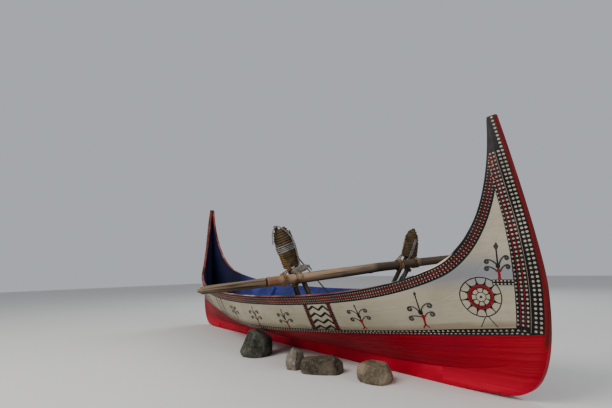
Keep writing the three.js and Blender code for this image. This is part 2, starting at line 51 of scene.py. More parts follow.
# Camera axes from yaw about Z, then pitch up, then roll about the line of sight.
def makeCamera(cfg):
    cy, sy = math.cos(cfg["yaw"]), math.sin(cfg["yaw"])
    cp, sp = math.cos(cfg["pitch"]), math.sin(cfg["pitch"])
    cr, sr = math.cos(cfg["roll"]), math.sin(cfg["roll"])
    ahead, right, up = Vector((-sy, cy, 0)), Vector((cy, sy, 0)), Vector((0, 0, 1))
    look, over = ahead * cp + up * sp, up * cp - ahead * sp
    across, upward = right * cr + over * sr, over * cr - right * sr
    data = bpy.data.cameras.new("camera")
    data.lens, data.sensor_width, data.sensor_fit = cfg["lens"], cfg["sensor"], "HORIZONTAL"
    data.clip_start = 0.02
    camera = bpy.data.objects.new("camera", data)
    turned = Matrix((across, upward, -look)).transposed().to_4x4()
    camera.matrix_world = Matrix.Translation(cfg["place"]) @ turned
    bpy.context.scene.collection.objects.link(camera)
    bpy.context.scene.camera = camera


makeCamera(view)


# Bernstein form of a Bezier curve at the parameters t.
def bezier(points, t):
    t = np.asarray(t, float)[..., None]
    n = len(points) - 1
    return sum(math.comb(n, k) * t**k * (1 - t)**(n - k) * np.array(p, float) for k, p in enumerate(points))


# A polyline that is looked up by the length along it.
class Guide:
    def __init__(self, points):
        self.points = np.array(points, float)
        steps = np.linalg.norm(np.diff(self.points, axis=0), axis=1)
        self.along = np.concatenate([[0], np.cumsum(steps)])
        self.length = self.along[-1]

    # Places at lengths s along it
    def at(self, s):
        return np.stack([np.interp(s, self.along, self.points[:, k]) for k in range(3)], -1)

    # Places at shares t of its whole length
    def share(self, t):
        return self.at(np.asarray(t, float) * self.length)

    # Unit direction at lengths s, by differences
    def tangent(self, s, step=0.004):
        d = self.at(np.minimum(s + step, self.length)) - self.at(np.maximum(s - step, 0))
        return d / np.linalg.norm(d, axis=-1, keepdims=True)

    # Length along the curve at the point of it nearest to each p, and how far off that is
    def nearest(self, p):
        a, d = self.points[:-1], np.diff(self.points, axis=0)
        t = np.clip(((p[:, None] - a) * d).sum(-1) / (d * d).sum(-1), 0, 1)
        gap = np.linalg.norm(p[:, None] - a - t[..., None] * d, axis=-1)
        best = gap.argmin(1)
        rows = np.arange(len(p))
        return self.along[best] + t[rows, best] * (self.along[best + 1] - self.along[best]), gap[rows, best]


# The lines of the hull, in metres, on the quarter where x and y are positive, as the CAD planks have them. A
# reach is how far a curve's handle stands from the point that it belongs to. Points named Mid and the two
# handles are (y, z), tip, furthest and forefoot are (x, z), and the sheer's turn and tip end with an angle.
hull = dict(
    plank=0.018, chineV=0.3, chineOnRabbet=0.13, chineSpan=1.6, scarfU=0.8,
    tip=(1.474, 1.0834), furthest=(1.5927, 0.395), forefoot=(1.3791, 0.0088),
    tipReach=(0.003, 0.009), furthestReach=(0.384, 0.15), forefootReach=(0.11, 0.0909, 0.0011),
    rabbetLow=((1.488, 0.033, 0.148), (1.505, 0.046, 0.287)), rabbetTurn=(1.505, 0.046, 0.437),
    rabbetHigh=((1.505, 0.046, 0.687), (1.474, 0.027, 0.975)),
    sheerTurn=(1.245, 0.4823, 0.4324), sheerTip=(1.4427, 0.0205, 1.0769, 1.5284), sheerMid=(0.4052, 0.34),
    sheerReach=(0.7003, 0.2273, 0.0816), sheerShares=(0.73, 0.27), sheerPowers=(1.8687, 0.6515),
    chineMid=(0.3119, 0.1435), chineFall=0.3012, chineRise=0.0906, chineRound=0.3,
    garboardHandle=(0.195, 0.084), topsideHandle=(0.37, 0.222),
    keelMid=(0.0426, 0.0578), keelEnd=(1.44, 0.03, 0.12),
)
dense = np.linspace(0, 1, 201)
tipX, tipZ = hull["tip"]
turnX, turnZ, turnAngle = hull["sheerTurn"]
endX, endY, endZ, endAngle = hull["sheerTip"]
keelX, keelY, keelZ = hull["keelEnd"]
footX, footZ = hull["forefoot"]
farX, farZ = hull["furthest"]
tipOut, tipDown = hull["tipReach"]
farDown, farUp = hull["furthestReach"]
footBack, footOut, footUp = hull["forefootReach"]
leadingUpper = [(tipX, 0, tipZ), (tipX + tipOut, 0, tipZ - tipDown), (farX, 0, farZ + farUp), (farX, 0, farZ)]
leadingLower = [(farX, 0, farZ), (farX, 0, farZ - farDown), (footX + footOut, 0, footZ + footUp),
                (footX, 0, footZ)]
forefootRise = [(footX, 0, footZ), (footX - footBack, 0, 0), (hull["scarfU"] * keelX, 0, 0)]
rabbet = Guide(np.vstack([
    bezier([(keelX, keelY, keelZ), *hull["rabbetLow"], hull["rabbetTurn"]], dense),
    bezier([hull["rabbetTurn"], *hull["rabbetHigh"], (endX, endY, endZ)], dense[1:]),
]))


# The sheer in side view: two Bezier curves that meet where it turns up into the wing.
def makeSheerSide():
    midReach, turnReach, tipReach = hull["sheerReach"]
    midZ = hull["sheerMid"][1]
    turn, turnWay = np.array([turnX, 0, turnZ]), np.array([math.cos(turnAngle), 0, math.sin(turnAngle)])
    end, endWay = np.array([endX, 0, endZ]), np.array([math.cos(endAngle), 0, math.sin(endAngle)])
    return Guide(np.vstack([
        bezier([(0, 0, midZ), (midReach, 0, midZ), turn - turnReach * turnWay, turn], dense),
        bezier([turn, turn + turnReach * turnWay, end - tipReach * endWay, end], dense[1:]),
    ]))


sheerSide = makeSheerSide()
garboardMid = [(0, *hull["keelMid"]), (0, *hull["garboardHandle"]), (0, *hull["chineMid"])]
topsideMid = [(0, *hull["chineMid"]), (0, *hull["topsideHandle"]), (0, *hull["sheerMid"])]


# Straight from a to b as t goes from 0 to 1.
def mix(a, b, t):
    return a + (b - a) * t


# The planking's lower edge: x goes with u, y narrows with the fourth power of u and z rises with the seventh.
def keelLine(u):
    midY, midZ = hull["keelMid"]
    return np.stack([keelX * u, mix(midY, keelY, u**4), mix(midZ, keelZ, u**7)], -1)


# The planking's top edge: x and z from the side view, and y narrows by two powers of x's share of the length.
def sheerLine(u):
    even, late = hull["sheerShares"]
    p = sheerSide.share(even * u + late * u**4)
    share = np.clip(p[..., 0] / endX, 0, 1)
    inPower, outPower = hull["sheerPowers"]
    p[..., 1] = endY + (hull["sheerMid"][0] - endY) * (1 - share**inPower)**outPower
    return p


chineEnd = rabbet.share(hull["chineOnRabbet"])


# The chine by x: along a hyperbola, it falls inwards and rises.
def chineLaw(x):
    bend = hull["chineRound"]
    share = (np.hypot(x, bend) - bend) / (np.hypot(hull["chineSpan"], bend) - bend)
    y0, z0 = hull["chineMid"]
    return np.stack([x, y0 - hull["chineFall"] * share, z0 + hull["chineRise"] * share], -1)


# The chine by u: the same law, brought onto the rabbet near its end by the eighth power of u.
def chineLine(u):
    u = np.asarray(u, float)
    return chineLaw(chineEnd[0] * u) + (chineEnd - chineLaw(chineEnd[0])) * (u**8)[..., None]


# Coons patch: the four edge curves blended, with the corners taken off once.
def coons(bottom, top, left, right, u, v):
    a, b = u[..., None], v[..., None]
    first, last = np.zeros(1), np.ones(1)
    p = bottom(u) * (1 - b) + top(u) * b + left(v) * (1 - a) + right(v) * a
    p = p - bottom(first) * (1 - a) * (1 - b) - bottom(last) * a * (1 - b)
    return p - top(first) * (1 - a) * b - top(last) * a * b


# The planking's outside: u from the stern's rabbet (-1) to the bow's (1), v from the keel line to the sheer.
def hullPoint(u, v, side):
    u, v = np.broadcast_arrays(np.asarray(u, float), np.asarray(v, float))
    a, c, r = np.abs(u), hull["chineV"], hull["chineOnRabbet"]
    lower = coons(keelLine, chineLine, lambda w: bezier(garboardMid, w), lambda w: rabbet.share(r * w),
                  a, np.clip(v / c, 0, 1))
    upper = coons(chineLine, sheerLine, lambda w: bezier(topsideMid, w), lambda w: rabbet.share(mix(r, 1, w)),
                  a, np.clip((v - c) / (1 - c), 0, 1))
    p = np.where((v < c)[..., None], lower, upper)
    return p * np.stack([np.where(u < 0, -1.0, 1.0), np.full(u.shape, float(side)), np.ones(u.shape)], -1)


# Outward unit normal of the planking, by differences.
def hullNormal(u, v, side, step=0.004):
    u, v = np.broadcast_arrays(np.asarray(u, float), np.asarray(v, float))
    du = hullPoint(np.minimum(u + step, 1), v, side) - hullPoint(np.maximum(u - step, -1), v, side)
    dv = hullPoint(u, np.minimum(v + step, 1), side) - hullPoint(u, np.maximum(v - step, 0), side)
    n = -side * np.cross(du, dv)
    return n / np.linalg.norm(n, axis=-1, keepdims=True)


# Shader values: one socket each, with operators that add Math nodes.
class Value:
    def __init__(self, finish, socket):
        self.finish, self.socket = finish, socket

    # A Math node on this value and others
    def math(self, operation, *others):
        node = self.finish.add("ShaderNodeMath", dict(operation=operation), [self, *others])
        return Value(self.finish, node.outputs[0])

    def __add__(self, other):
        return self.math("ADD", other)

    def __mul__(self, other):
        return self.math("MULTIPLY", other)

    def __sub__(self, other):
        return self.math("SUBTRACT", other)

    def __rsub__(self, other):
        return (self * -1.0).math("ADD", other)

    def __lt__(self, other):
        return self.math("LESS_THAN", other)

    __radd__, __rmul__ = __add__, __mul__

    # Held between 0 and 1
    def clamp(self):
        return Value(self.finish, self.finish.add("ShaderNodeClamp", {}, [self]).outputs[0])

    # The lower of two masks
    def both(self, other):
        return self.math("MINIMUM", other)

    # The higher of two masks
    def either(self, other):
        return self.math("MAXIMUM", other)

    # 0 at low and 1 at high, straight between, level beyond them
    def ramp(self, low, high):
        return ((self - low) * (1.0 / (high - low))).clamp()


# A material: its shader's fixed roughness, and short names for the nodes that are used.
class Finish:
    def __init__(self, name, roughness):
        self.material = bpy.data.materials.new(name)
        self.material.use_nodes = True
        self.tree = self.material.node_tree
        self.shader = self.tree.nodes["Principled BSDF"]
        self.shader.inputs["Roughness"].default_value = roughness
        self.shader.inputs["Specular IOR Level"].default_value = 0.1

    # Links a value to a socket, or sets the socket to it
    def feed(self, socket, value):
        if isinstance(value, Value):
            self.tree.links.new(value.socket, socket)
        elif value is not None:
            socket.default_value = value

    # A node of a type, its settings, then its sockets in order or by name
    def add(self, kind, settings, sockets=()):
        node = self.tree.nodes.new(kind)
        for key, value in settings.items():
            setattr(node, key, value)
        pairs = sockets.items() if isinstance(sockets, dict) else enumerate(sockets)
        for key, value in pairs:
            self.feed(node.inputs[key], value)
        return node

    # Where the surface is, in its object's metres
    def place(self):
        return Value(self, self.add("ShaderNodeTexCoord", {}).outputs["Object"])

    # A mark kept on the mesh's points
    def mark(self, name, vector=False):
        node = self.add("ShaderNodeAttribute", dict(attribute_name=name))
        return Value(self, node.outputs["Vector" if vector else "Fac"])

    # A place multiplied by a scale on each axis
    def stretch(self, vector, scale):
        node = self.add("ShaderNodeMapping", dict(vector_type="POINT"), dict(Vector=vector, Scale=scale))
        return Value(self, node.outputs[0])

    # Noise from 0 to 1 at a place, with so many patches to the metre
    def noise(self, vector, scale, detail=4.0, roughness=0.55):
        sockets = dict(Vector=vector, Scale=scale, Detail=detail, Roughness=roughness)
        node = self.add("ShaderNodeTexNoise", {}, sockets)
        return Value(self, node.outputs["Fac"])

    # A place's three numbers
    def parts(self, vector):
        node = self.add("ShaderNodeSeparateXYZ", {}, [vector])
        return [Value(self, out) for out in node.outputs]

    # A place from three numbers
    def join(self, x, y, z):
        return Value(self, self.add("ShaderNodeCombineXYZ", {}, [x, y, z]).outputs[0])

    # Colour a at share 0, colour b at share 1; 0, 6 and 7 are the node's factor and its two colours
    def blend(self, share, a, b):
        node = self.add("ShaderNodeMix", dict(data_type="RGBA"))
        for index, value in ((0, share), (6, a), (7, b)):
            self.feed(node.inputs[index], (*value, 1.0) if isinstance(value, tuple) else value)
        return Value(self, node.outputs[2])

    # One socket of the shader
    def set(self, socket, value):
        self.feed(self.shader.inputs[socket], value)

    # Height in metres, through one Bump node
    def relief(self, height):
        node = self.add("ShaderNodeBump", {}, dict(Strength=1.0, Distance=1.0, Height=height))
        self.tree.links.new(node.outputs[0], self.shader.inputs["Normal"])


# The carved bands: widths, rows and lines in metres from their edges, and pitches along them; the stem band's
# width by height, as a share of its full width; and the height above which the painting has faded
bands = dict(
    sheer=0.047, sheerRows=(0.0115, 0.0245, 0.0375), sheerLines=(0.018, 0.031), sheerPitch=0.0126,
    stem=0.0905, strip=0.0105, stemRows=(0.019, 0.0335, 0.055, 0.0695, 0.084), stemLines=(0.062, 0.0765),
    paleLine=0.047, stemPitch=0.0165, chine=0.027, chineRows=(0.0075, 0.0185), chinePitch=0.0175,
    narrowHeights=(0.23, 0.42, 0.545, 0.66), narrowShares=(1.09, 1.03, 0.9, 0.83), fade=0.93,
)
# Colours of the paints, and of light painted on: a bluish painted shade for the panel, a navy painted shade
# inside the wings, and a brighter red painted as light low on the hull
paints = dict(
    panel=(0.35, 0.316, 0.232), panelDark=(0.216, 0.184, 0.126), panelBluishShade=(0.165, 0.175, 0.215),
    wash=(0.15, 0.105, 0.062), dirt=(0.13, 0.085, 0.05), black=(0.006, 0.006, 0.007),
    dusty=(0.045, 0.042, 0.04), red=(0.26, 0.0006, 0.009), redDark=(0.11, 0.0006, 0.008),
    redPaintedLight=(0.4, 0.0015, 0.019), brick=(0.15, 0.006, 0.008), brickDark=(0.06, 0.004, 0.004),
    white=(0.42, 0.385, 0.305), lineRed=(0.24, 0.002, 0.009),
    blue=(0.045, 0.062, 0.255), blueDark=(0.014, 0.017, 0.065), wingShadeNavy=(0.006, 0.007, 0.02),
)


# The outside of the planking: panel, black band grounds, red bottom, brick strip; all by distance marks.
# Towards the wings the panel gets a bluish painted shade in a band of height, and the red is brightened low
# down as painted light.
def hullPaint(name):
    f = Finish(name, 0.5)
    place, rim, stem, low = f.place(), f.mark("rim"), f.mark("stem"), f.mark("low")
    x, y, z = f.parts(place)
    cloud, fine = f.noise(place, 5.0, 5.0), f.noise(place, 16.0, 4.0)
    grain = f.noise(f.join(x * 2.5, low * 90.0, y), 1.0, 4.0)
    upright = f.noise(f.join(stem * 150.0, z * 5.0, 0.0), 1.0, 4.0)
    wander = f.noise(f.join(x * 7.0, 0.0, z * 3.0), 1.0, 3.0)
    panel = f.blend(cloud.ramp(0.4, 0.68) * 0.4, paints["panel"], paints["panelDark"])
    panel = f.blend(fine.ramp(0.5, 0.7) * 0.3, panel, paints["panelDark"])
    panel = f.blend(grain.ramp(0.5, 0.75) * 0.35, panel, paints["panelDark"])
    # Painted shade: a bluish grey laid on the panel in a band of height towards the wings.
    level = z + wander * 0.03
    bluishShade = level.ramp(0.4, 0.46).both((level * -1.0).ramp(-0.56, -0.48)) * (x * x).ramp(0.95, 1.25)
    panel = f.blend(bluishShade * 0.8, panel, paints["panelBluishShade"])
    wash = (low - wander * 0.03 + fine * 0.02).ramp(0.052, 0.034)
    panel = f.blend(wash * (grain * 0.8 + 0.2), panel, paints["wash"])
    ground = (rim < bands["sheer"]).either(stem < bands["stem"]).either(low < bands["chine"])
    dusty = f.blend(z.ramp(0.8, 1.0) * 0.5 + fine.ramp(0.5, 0.7) * 0.3, paints["black"], paints["dusty"])
    skin = f.blend(ground, panel, dusty)
    streak = f.noise(f.join(x * 1.6, low * 55.0, y * 0.5), 1.0, 5.0, 0.6)
    scored = streak.ramp(0.42, 0.62) * (z.ramp(0.03, 0.1) * 0.75 + 0.25) * ((x * x) * -1.0).ramp(-2.1, -1.2)
    red = f.blend(scored * 0.85, paints["red"], paints["redDark"])
    red = f.blend(cloud.ramp(0.45, 0.75) * 0.35, red, paints["redDark"])
    # Painted light: below about 0.1 m the red is brightened, less on the adze streaks, for the low light on
    # the keel's side.
    red = f.blend((z * -1.0).ramp(-0.1, -0.03) * (1.0 - scored * 0.5), red, paints["redPaintedLight"])
    skin = f.blend(low < 0.0, skin, red)
    brick = f.blend(upright.ramp(0.38, 0.62), paints["brick"], paints["brickDark"])
    skin = f.blend((stem < bands["strip"]) * (low + fine * 0.02).ramp(-0.045, -0.02), skin, brick)
    scuff = f.noise(place, 34.0, 6.0, 0.7).ramp(0.66, 0.74)
    f.set("Base Color", f.blend(scuff * 0.3, skin, paints["dirt"]))
    f.set("Roughness", cloud * 0.25 + 0.4)
    adze = streak.ramp(0.3, 0.7) * (low < -0.004) * -0.0022
    f.relief(adze + grain * 0.0005 + f.noise(place, 160.0, 2.0) * 0.00015 - scuff * 0.0002)
    return f.material


# Solid paint with brushed streaks along the boat and worn places. Given ends, it darkens towards the boat's
# ends as painted shade, and takes the tips' own paint near the top.
def plainPaint(name, light, dark, wear, streak=(6.0, 40.0, 40.0), rough=0.5, ends=None):
    f = Finish(name, rough)
    place = f.place()
    cloud, grain = f.noise(place, 6.0, 5.0), f.noise(f.stretch(place, streak), 1.0, 4.0)
    colour = f.blend(cloud.ramp(0.3, 0.7), light, dark)
    colour = f.blend(grain.ramp(0.45, 0.7) * 0.5, colour, dark)
    if ends:
        x, y, z = f.parts(place)
        # Painted shade: darker deep in the wings, by x. Then the tips' own red paint, by height.
        colour = f.blend((x * x + cloud * 0.5).ramp(1.2, 1.75) * 0.9, colour, ends[0])
        colour = f.blend((z + cloud * 0.05).ramp(0.97, 1.01), colour, ends[1])
    chips = f.noise(place, 42.0, 6.0, 0.7).ramp(0.64, 0.72)
    f.set("Base Color", f.blend(chips * 0.45, colour, wear))
    f.set("Roughness", cloud * 0.3 + (rough - 0.12))
    f.relief(grain * 0.0005 - chips * 0.0003)
    return f.material


# The sheer's edge: dull red paint, worn to cream wood where hands and ropes rub, most of all near the wing's
# foot, and dark beyond that.
def rimPaint(name):
    f = Finish(name, 0.6)
    place = f.place()
    x, y, z = f.parts(place)
    worn = f.noise(f.join(x * 9.0, y * 9.0, z * 9.0), 1.0, 4.0)
    near = x.ramp(1.03, 1.07).both((x * -1.0).ramp(-1.32, -1.28)) * 0.4
    colour = f.blend(worn.ramp(0.35, 0.6), (0.09, 0.012, 0.011), (0.24, 0.07, 0.055))
    colour = f.blend((worn + near).ramp(0.6, 0.7), colour, (0.6, 0.44, 0.32))
    colour = f.blend(x.ramp(1.29, 1.32), colour, (0.02, 0.012, 0.011))
    f.set("Base Color", colour)
    f.relief(worn * 0.001)
    return f.material


# Weathered pole: fibres along the piece's own length, from its fibre mark, with colours over stretches of it,
# some of them painted shade, a dark ring at one place as painted shade in the bar's worn groove, dark cracks,
# and painted shade on its underside.
def poleWood(name, light, dark, tintsAndShade=(), ring=None):
    f = Finish(name, 0.8)
    fibre = f.mark("fibre", vector=True)
    across, under, along = f.parts(fibre)
    streak = f.noise(f.join(across * 55.0, under * 55.0, along * 4.0), 1.0, 6.0, 0.65)
    colour = f.blend(streak.ramp(0.36, 0.66), dark, light)
    for low, high, stretchColour, share in tintsAndShade:
        begun = (along + streak * 0.05).ramp(low, low + 0.03)
        unfinished = (along * -1.0 + streak * 0.05).ramp(-high, 0.03 - high)
        here = begun.both(unfinished)
        colour = f.blend(here * share, colour, stretchColour)
    # Painted shade: a dark ring where the groove is.
    if ring:
        off = along - ring
        colour = f.blend((off * off).ramp(0.00004, 0.00001) * 0.9, colour, (0.012, 0.009, 0.007))
    crack = f.noise(f.join(across * 90.0, under * 90.0, along * 2.5), 1.0, 3.0).ramp(0.6, 0.66)
    colour = f.blend(crack * 0.8, colour, (0.012, 0.009, 0.006))
    # Painted shade on the underside, deeper along the far part.
    shade = under.ramp(-0.01, 0.013) * (along.ramp(0.85, 1.05) * 0.17 + 0.66)
    f.set("Base Color", f.blend(shade, colour, (0.012, 0.01, 0.008)))
    f.set("Roughness", streak * 0.2 + 0.65)
    f.relief(streak * 0.0014 - crack * 0.0015)
    return f.material


# Laid rope: fine yarns slanting round the strand, and dust in places.
def ropeFibre(name, light, dark):
    f = Finish(name, 0.95)
    fibre, place = f.mark("fibre", vector=True), f.place()
    yarn = f.noise(f.stretch(fibre, (4.0, 4.0, 160.0)), 1.0, 3.0, 0.6)
    cloud = f.noise(place, 30.0, 3.0)
    f.set("Base Color", f.blend((yarn * 0.6 + cloud * 0.5).ramp(0.4, 0.72), dark, light))
    f.relief(yarn * 0.0006)
    return f.material


# Beach rock: mottled by noises of two sizes, speckled and pitted. Takes its light, dark and spot colours.
def rock(name, light, dark, spots):
    f = Finish(name, 0.9)
    place = f.place()
    cloud, fine = f.noise(place, 11.0, 6.0, 0.65), f.noise(place, 70.0, 5.0, 0.7)
    speck = f.noise(place, 230.0, 2.0).ramp(0.62, 0.7)
    colour = f.blend(cloud.ramp(0.4, 0.6), dark, light)
    colour = f.blend(fine.ramp(0.52, 0.64) * 0.6, colour, spots)
    colour = f.blend(speck * 0.5, colour, dark)
    f.set("Base Color", colour)
    f.set("Roughness", fine * 0.2 + 0.75)
    f.relief(fine * 0.006 + cloud * 0.008 - speck * 0.0008)
    return f.material


# Stretches of the crossbar: from and to along it, colour and its share. The third, dark over the bar's far
# part, is painted shade.
barTintsAndShade = ((0.335, 0.43, (0.27, 0.1, 0.045), 0.5), (0.42, 0.76, (0.38, 0.25, 0.15), 0.6),
            (1.0, 1.7, (0.032, 0.022, 0.015), 0.78), (0.0, 0.32, (0.14, 0.095, 0.06), 0.55))
carved = (30, 30, 30)  # how finely the streaks lie on the carved pieces
finishes = dict(
    hull=hullPaint("hull_paint"),
    # The keel's red is brighter than the planking's, painted light for the low light along its side.
    red=plainPaint("bottom_red", (0.43, 0.0016, 0.02), (0.27, 0.001, 0.013), paints["dirt"]),
    # The inside's blue: navy deep in the wings is painted shade; brick red at the tips is paint.
    blue=plainPaint("inside_blue", paints["blue"], paints["blueDark"], (0.12, 0.11, 0.1),
                    ends=(paints["wingShadeNavy"], (0.12, 0.012, 0.012))),
    rim=rimPaint("rim_worn"),
    white=plainPaint("carved_white", paints["white"], (0.22, 0.19, 0.145), (0.1, 0.08, 0.06), carved),
    dull=plainPaint("carved_dull", (0.3, 0.262, 0.2), (0.16, 0.13, 0.095), (0.1, 0.07, 0.05), carved),
    lineRed=plainPaint("carved_red", paints["lineRed"], (0.13, 0.002, 0.006), paints["dirt"], carved),
    pale=plainPaint("carved_pale", (0.26, 0.19, 0.15), (0.14, 0.09, 0.07), paints["dirt"], carved),
    grey=plainPaint("carved_grey", (0.045, 0.048, 0.045), (0.018, 0.019, 0.018), (0.12, 0.11, 0.09), carved),
    black=plainPaint("carved_black", (0.011, 0.011, 0.01), paints["black"], (0.06, 0.055, 0.045), carved),
    bar=poleWood("crossbar_wood", (0.29, 0.21, 0.14), (0.085, 0.062, 0.042), barTintsAndShade, 0.3426),
    leg=poleWood("crutch_wood", (0.085, 0.06, 0.036), (0.022, 0.016, 0.01)),
    legLight=poleWood("crutch_wood_light", (0.21, 0.14, 0.08), (0.06, 0.04, 0.024)),
    rope=ropeFibre("winding_rope", (0.12, 0.085, 0.045), (0.02, 0.014, 0.008)),
    # A gold rope that shows only on the outboard side, a painted highlight for that lit side.
    ropeHighlight=ropeFibre("winding_rope_painted_highlight", (0.24, 0.13, 0.025), (0.045, 0.024, 0.008)),
    paleRope=ropeFibre("pale_cord", (0.25, 0.235, 0.225), (0.075, 0.068, 0.062)),
    greyRope=ropeFibre("grey_cord", (0.13, 0.14, 0.16), (0.03, 0.03, 0.03)),
    cloth=ropeFibre("grey_cloth", (0.27, 0.245, 0.205), (0.1, 0.088, 0.072)),
    lashRope=ropeFibre("lashing_cord", (0.25, 0.15, 0.075), (0.05, 0.03, 0.017)),
    darkRock=rock("dark_rock", (0.075, 0.077, 0.06), (0.022, 0.025, 0.02), (0.15, 0.14, 0.115)),
    paleRock=rock("pale_rock", (0.175, 0.15, 0.115), (0.055, 0.047, 0.037), (0.34, 0.31, 0.26)),
    brownRock=rock("brown_rock", (0.115, 0.093, 0.066), (0.04, 0.032, 0.024), (0.17, 0.14, 0.1)),
    sandRock=rock("sandy_rock", (0.225, 0.175, 0.118), (0.09, 0.07, 0.048), (0.28, 0.225, 0.16)),
)
print("finishes made")


# Puts points and groups of equal-sided faces into a mesh; a closed shape whose volume comes out negative is
# turned round. Marks are values on its points.
def meshOf(name, points, groups, slots=None, marks=None, closed=True):
    points = np.asarray(points, np.float32).reshape(-1, 3)
    groups = [np.asarray(g, np.int64) for g in groups if len(g)]
    if closed:
        total = sum(np.einsum("ij,ij->", points[g[:, 0]], np.cross(points[g[:, k]], points[g[:, k + 1]]))
                    for g in groups for k in range(1, g.shape[1] - 1))
        if total < 0:
            groups = [g[:, ::-1] for g in groups]
    loops = np.concatenate([g.ravel() for g in groups]).astype(np.int32)
    sides = np.concatenate([np.full(len(g), g.shape[1]) for g in groups]).astype(np.int32)
    mesh = bpy.data.meshes.new(name)
    mesh.vertices.add(len(points))
    mesh.vertices.foreach_set("co", points.ravel())
    mesh.loops.add(len(loops))
    mesh.loops.foreach_set("vertex_index", loops)
    mesh.polygons.add(len(sides))
    mesh.polygons.foreach_set("loop_start", np.concatenate([[0], np.cumsum(sides)[:-1]]).astype(np.int32))
    mesh.polygons.foreach_set("loop_total", sides)
    if slots is not None:
        mesh.polygons.foreach_set("material_index", np.concatenate(slots).astype(np.int32))
    mesh.update(calc_edges=True)
    mesh.polygons.foreach_set("use_smooth", np.ones(len(sides), bool))
    for mark, values in (marks or {}).items():
        values = np.asarray(values, np.float32)
        kind, key = ("FLOAT_VECTOR", "vector") if values.ndim == 2 else ("FLOAT", "value")
        mesh.attributes.new(mark, kind, "POINT").data.foreach_set(key, values.ravel())
    return mesh


# A mesh becomes a piece: it rides on the one body, takes a slot, and stands for the nodes named.
def addPiece(name, mesh, materials, replaces=(), sharp=35.0):
    for material in materials:
        mesh.materials.append(finishes[material])
    mesh.set_sharp_from_angle(angle=math.radians(sharp))
    piece = bpy.data.objects.new(name, mesh)
    bpy.context.scene.collection.objects.link(piece)
    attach(piece, "root")
    if replaces:
        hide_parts(*replaces)


# Quads between rings of n points, each ring joined to the next.
def wallFaces(rings, n, closed=True, start=0):
    row = np.arange(rings - 1)[:, None] * n + start
    j = np.arange(n if closed else n - 1)
    k = (j + 1) % n
    return np.stack([row + j, row + k, row + k + n, row + j + n], -1).reshape(-1, 4)


# The two end faces of a tube of rings.
def endFaces(rings, n):
    return np.stack([np.arange(n)[::-1], np.arange(n) + (rings - 1) * n])


leadLow, leadHigh = bezier(leadingLower[::-1], dense[::4]), bezier(leadingUpper[::-1], dense[::4])
chineGuide = Guide(hullPoint(np.linspace(0, 1, 61), hull["chineV"], 1))
sheerGuide = Guide(hullPoint(np.linspace(0, 1, 121)**0.8, 1.0, 1))
leadGuide = Guide(np.vstack([leadLow, leadHigh[1:]]))


# A stem band's width at a height, as a share of its full width.
def narrowing(z):
    return np.interp(z, bands["narrowHeights"], bands["narrowShares"])


# Distance marks of points of the outside: to the sheer; to the leading edge in side view, over the stem
# band's share of width there; and above the chine, or below it if negative.
def outsideMarks(points, above):
    quarter = np.abs(points.reshape(-1, 3))
    lead = leadGuide.nearest(quarter * [1, 0, 1])[1] / narrowing(quarter[:, 2])
    low = np.where(above.ravel(), 1, -1) * chineGuide.nearest(quarter)[1]
    return dict(rim=sheerGuide.nearest(quarter)[1], stem=lead, low=low)


# Each strake's span of v, where its planks butt in u, and its rows of points
strakes = dict(
    garboard=dict(v=(0, 0.3), butt=0.4, rows=26, slot="red_paint"),
    middle_strake=dict(v=(0.3, 0.66), butt=0.3, rows=26, slot="white_paint"),
    sheer_strake=dict(v=(0.66, 1), butt=0.35, rows=30, slot="white_paint"),
)
# Metres from ring to ring, how wide an edge is in v and how deep its nick, and in u the stretch where the
# sheer's edge is worn, with its swelling in metres and the ripple's share and rate
plankShape = dict(step=0.0075, fewest=8, edge=0.0035, nick=0.0004, wornFrom=0.735, wornTo=0.87, worn=0.0066,
                  ripple=(0.1, 210))


# One plank: its section goes up the outside and down the inside, a plank's thickness in, carried along u.
# Near the bow the sheer's edge swells where it is worn.
def addPlank(name, v0, v1, rows, u0, u1, side, slot):
    count = max(int((u1 - u0) * keelX / plankShape["step"]), plankShape["fewest"])
    us = np.linspace(u0, u1, count)
    e = plankShape["edge"]
    inner = np.linspace(v0, v1, rows)
    top = v1 == 1
    outer = np.concatenate([[v0], np.linspace(v0 + e, v1 - e, rows), [v1]])
    vs = np.concatenate([outer, inner[::-1]])
    depth = np.concatenate([[plankShape["nick"]], np.zeros(rows), [plankShape["nick"] * (2 if top else 1)],
                            np.full(rows, hull["plank"])])
    gridU, gridV = np.meshgrid(us, vs, indexing="ij")
    points, normal = hullPoint(gridU, gridV, side), hullNormal(gridU, gridV, side)
    flat = normal * [0, 1, 1]
    inward = -flat / (flat * flat).sum(-1, keepdims=True)
    placed = points + inward * depth[None, :, None]
    worn = np.zeros(count - 1, bool)
    if top and u1 == 1:
        share = (us - plankShape["wornFrom"]) / (plankShape["wornTo"] - plankShape["wornFrom"])
        height, often = plankShape["ripple"]
        swell = np.sin(np.pi * np.clip(share, 0, 1))**0.8 * (1 + height * np.sin(us * often))
        rise = plankShape["worn"] * swell
        placed[:, rows + 1:rows + 3, 2] += rise[:, None]
        worn = (share[:-1] > -0.02) & (share[:-1] < 1)
    n = len(vs)
    ring = np.concatenate([np.zeros(rows + 1), [2 if top else 0], np.ones(rows - 1), [0]])
    faces, caps = wallFaces(count, n), endFaces(count, n)
    rings = np.tile(ring, (count - 1, 1))
    rings[worn, rows] = 2
    slots = [rings.ravel(), np.zeros(2)]
    marks = outsideMarks(points, np.full(gridV.shape, v0 >= hull["chineV"]))
    mesh = meshOf(name, placed, [faces, caps], slots, marks)
    addPiece(name + "_skin", mesh, ["hull", "blue", "rim"], [name], 50.0)


for strake, cfg in strakes.items():
    for sideName, side in (("starboard", -1), ("port", 1)):
        lengths = (("stern", -1, -cfg["butt"]), ("waist", -cfg["butt"], cfg["butt"]), ("bow", cfg["butt"], 1))
        for length, u0, u1 in lengths:
            addPlank(f"{strake}_{sideName}_{length}", *cfg["v"], cfg["rows"], u0, u1, side, cfg["slot"])
print("planking made")


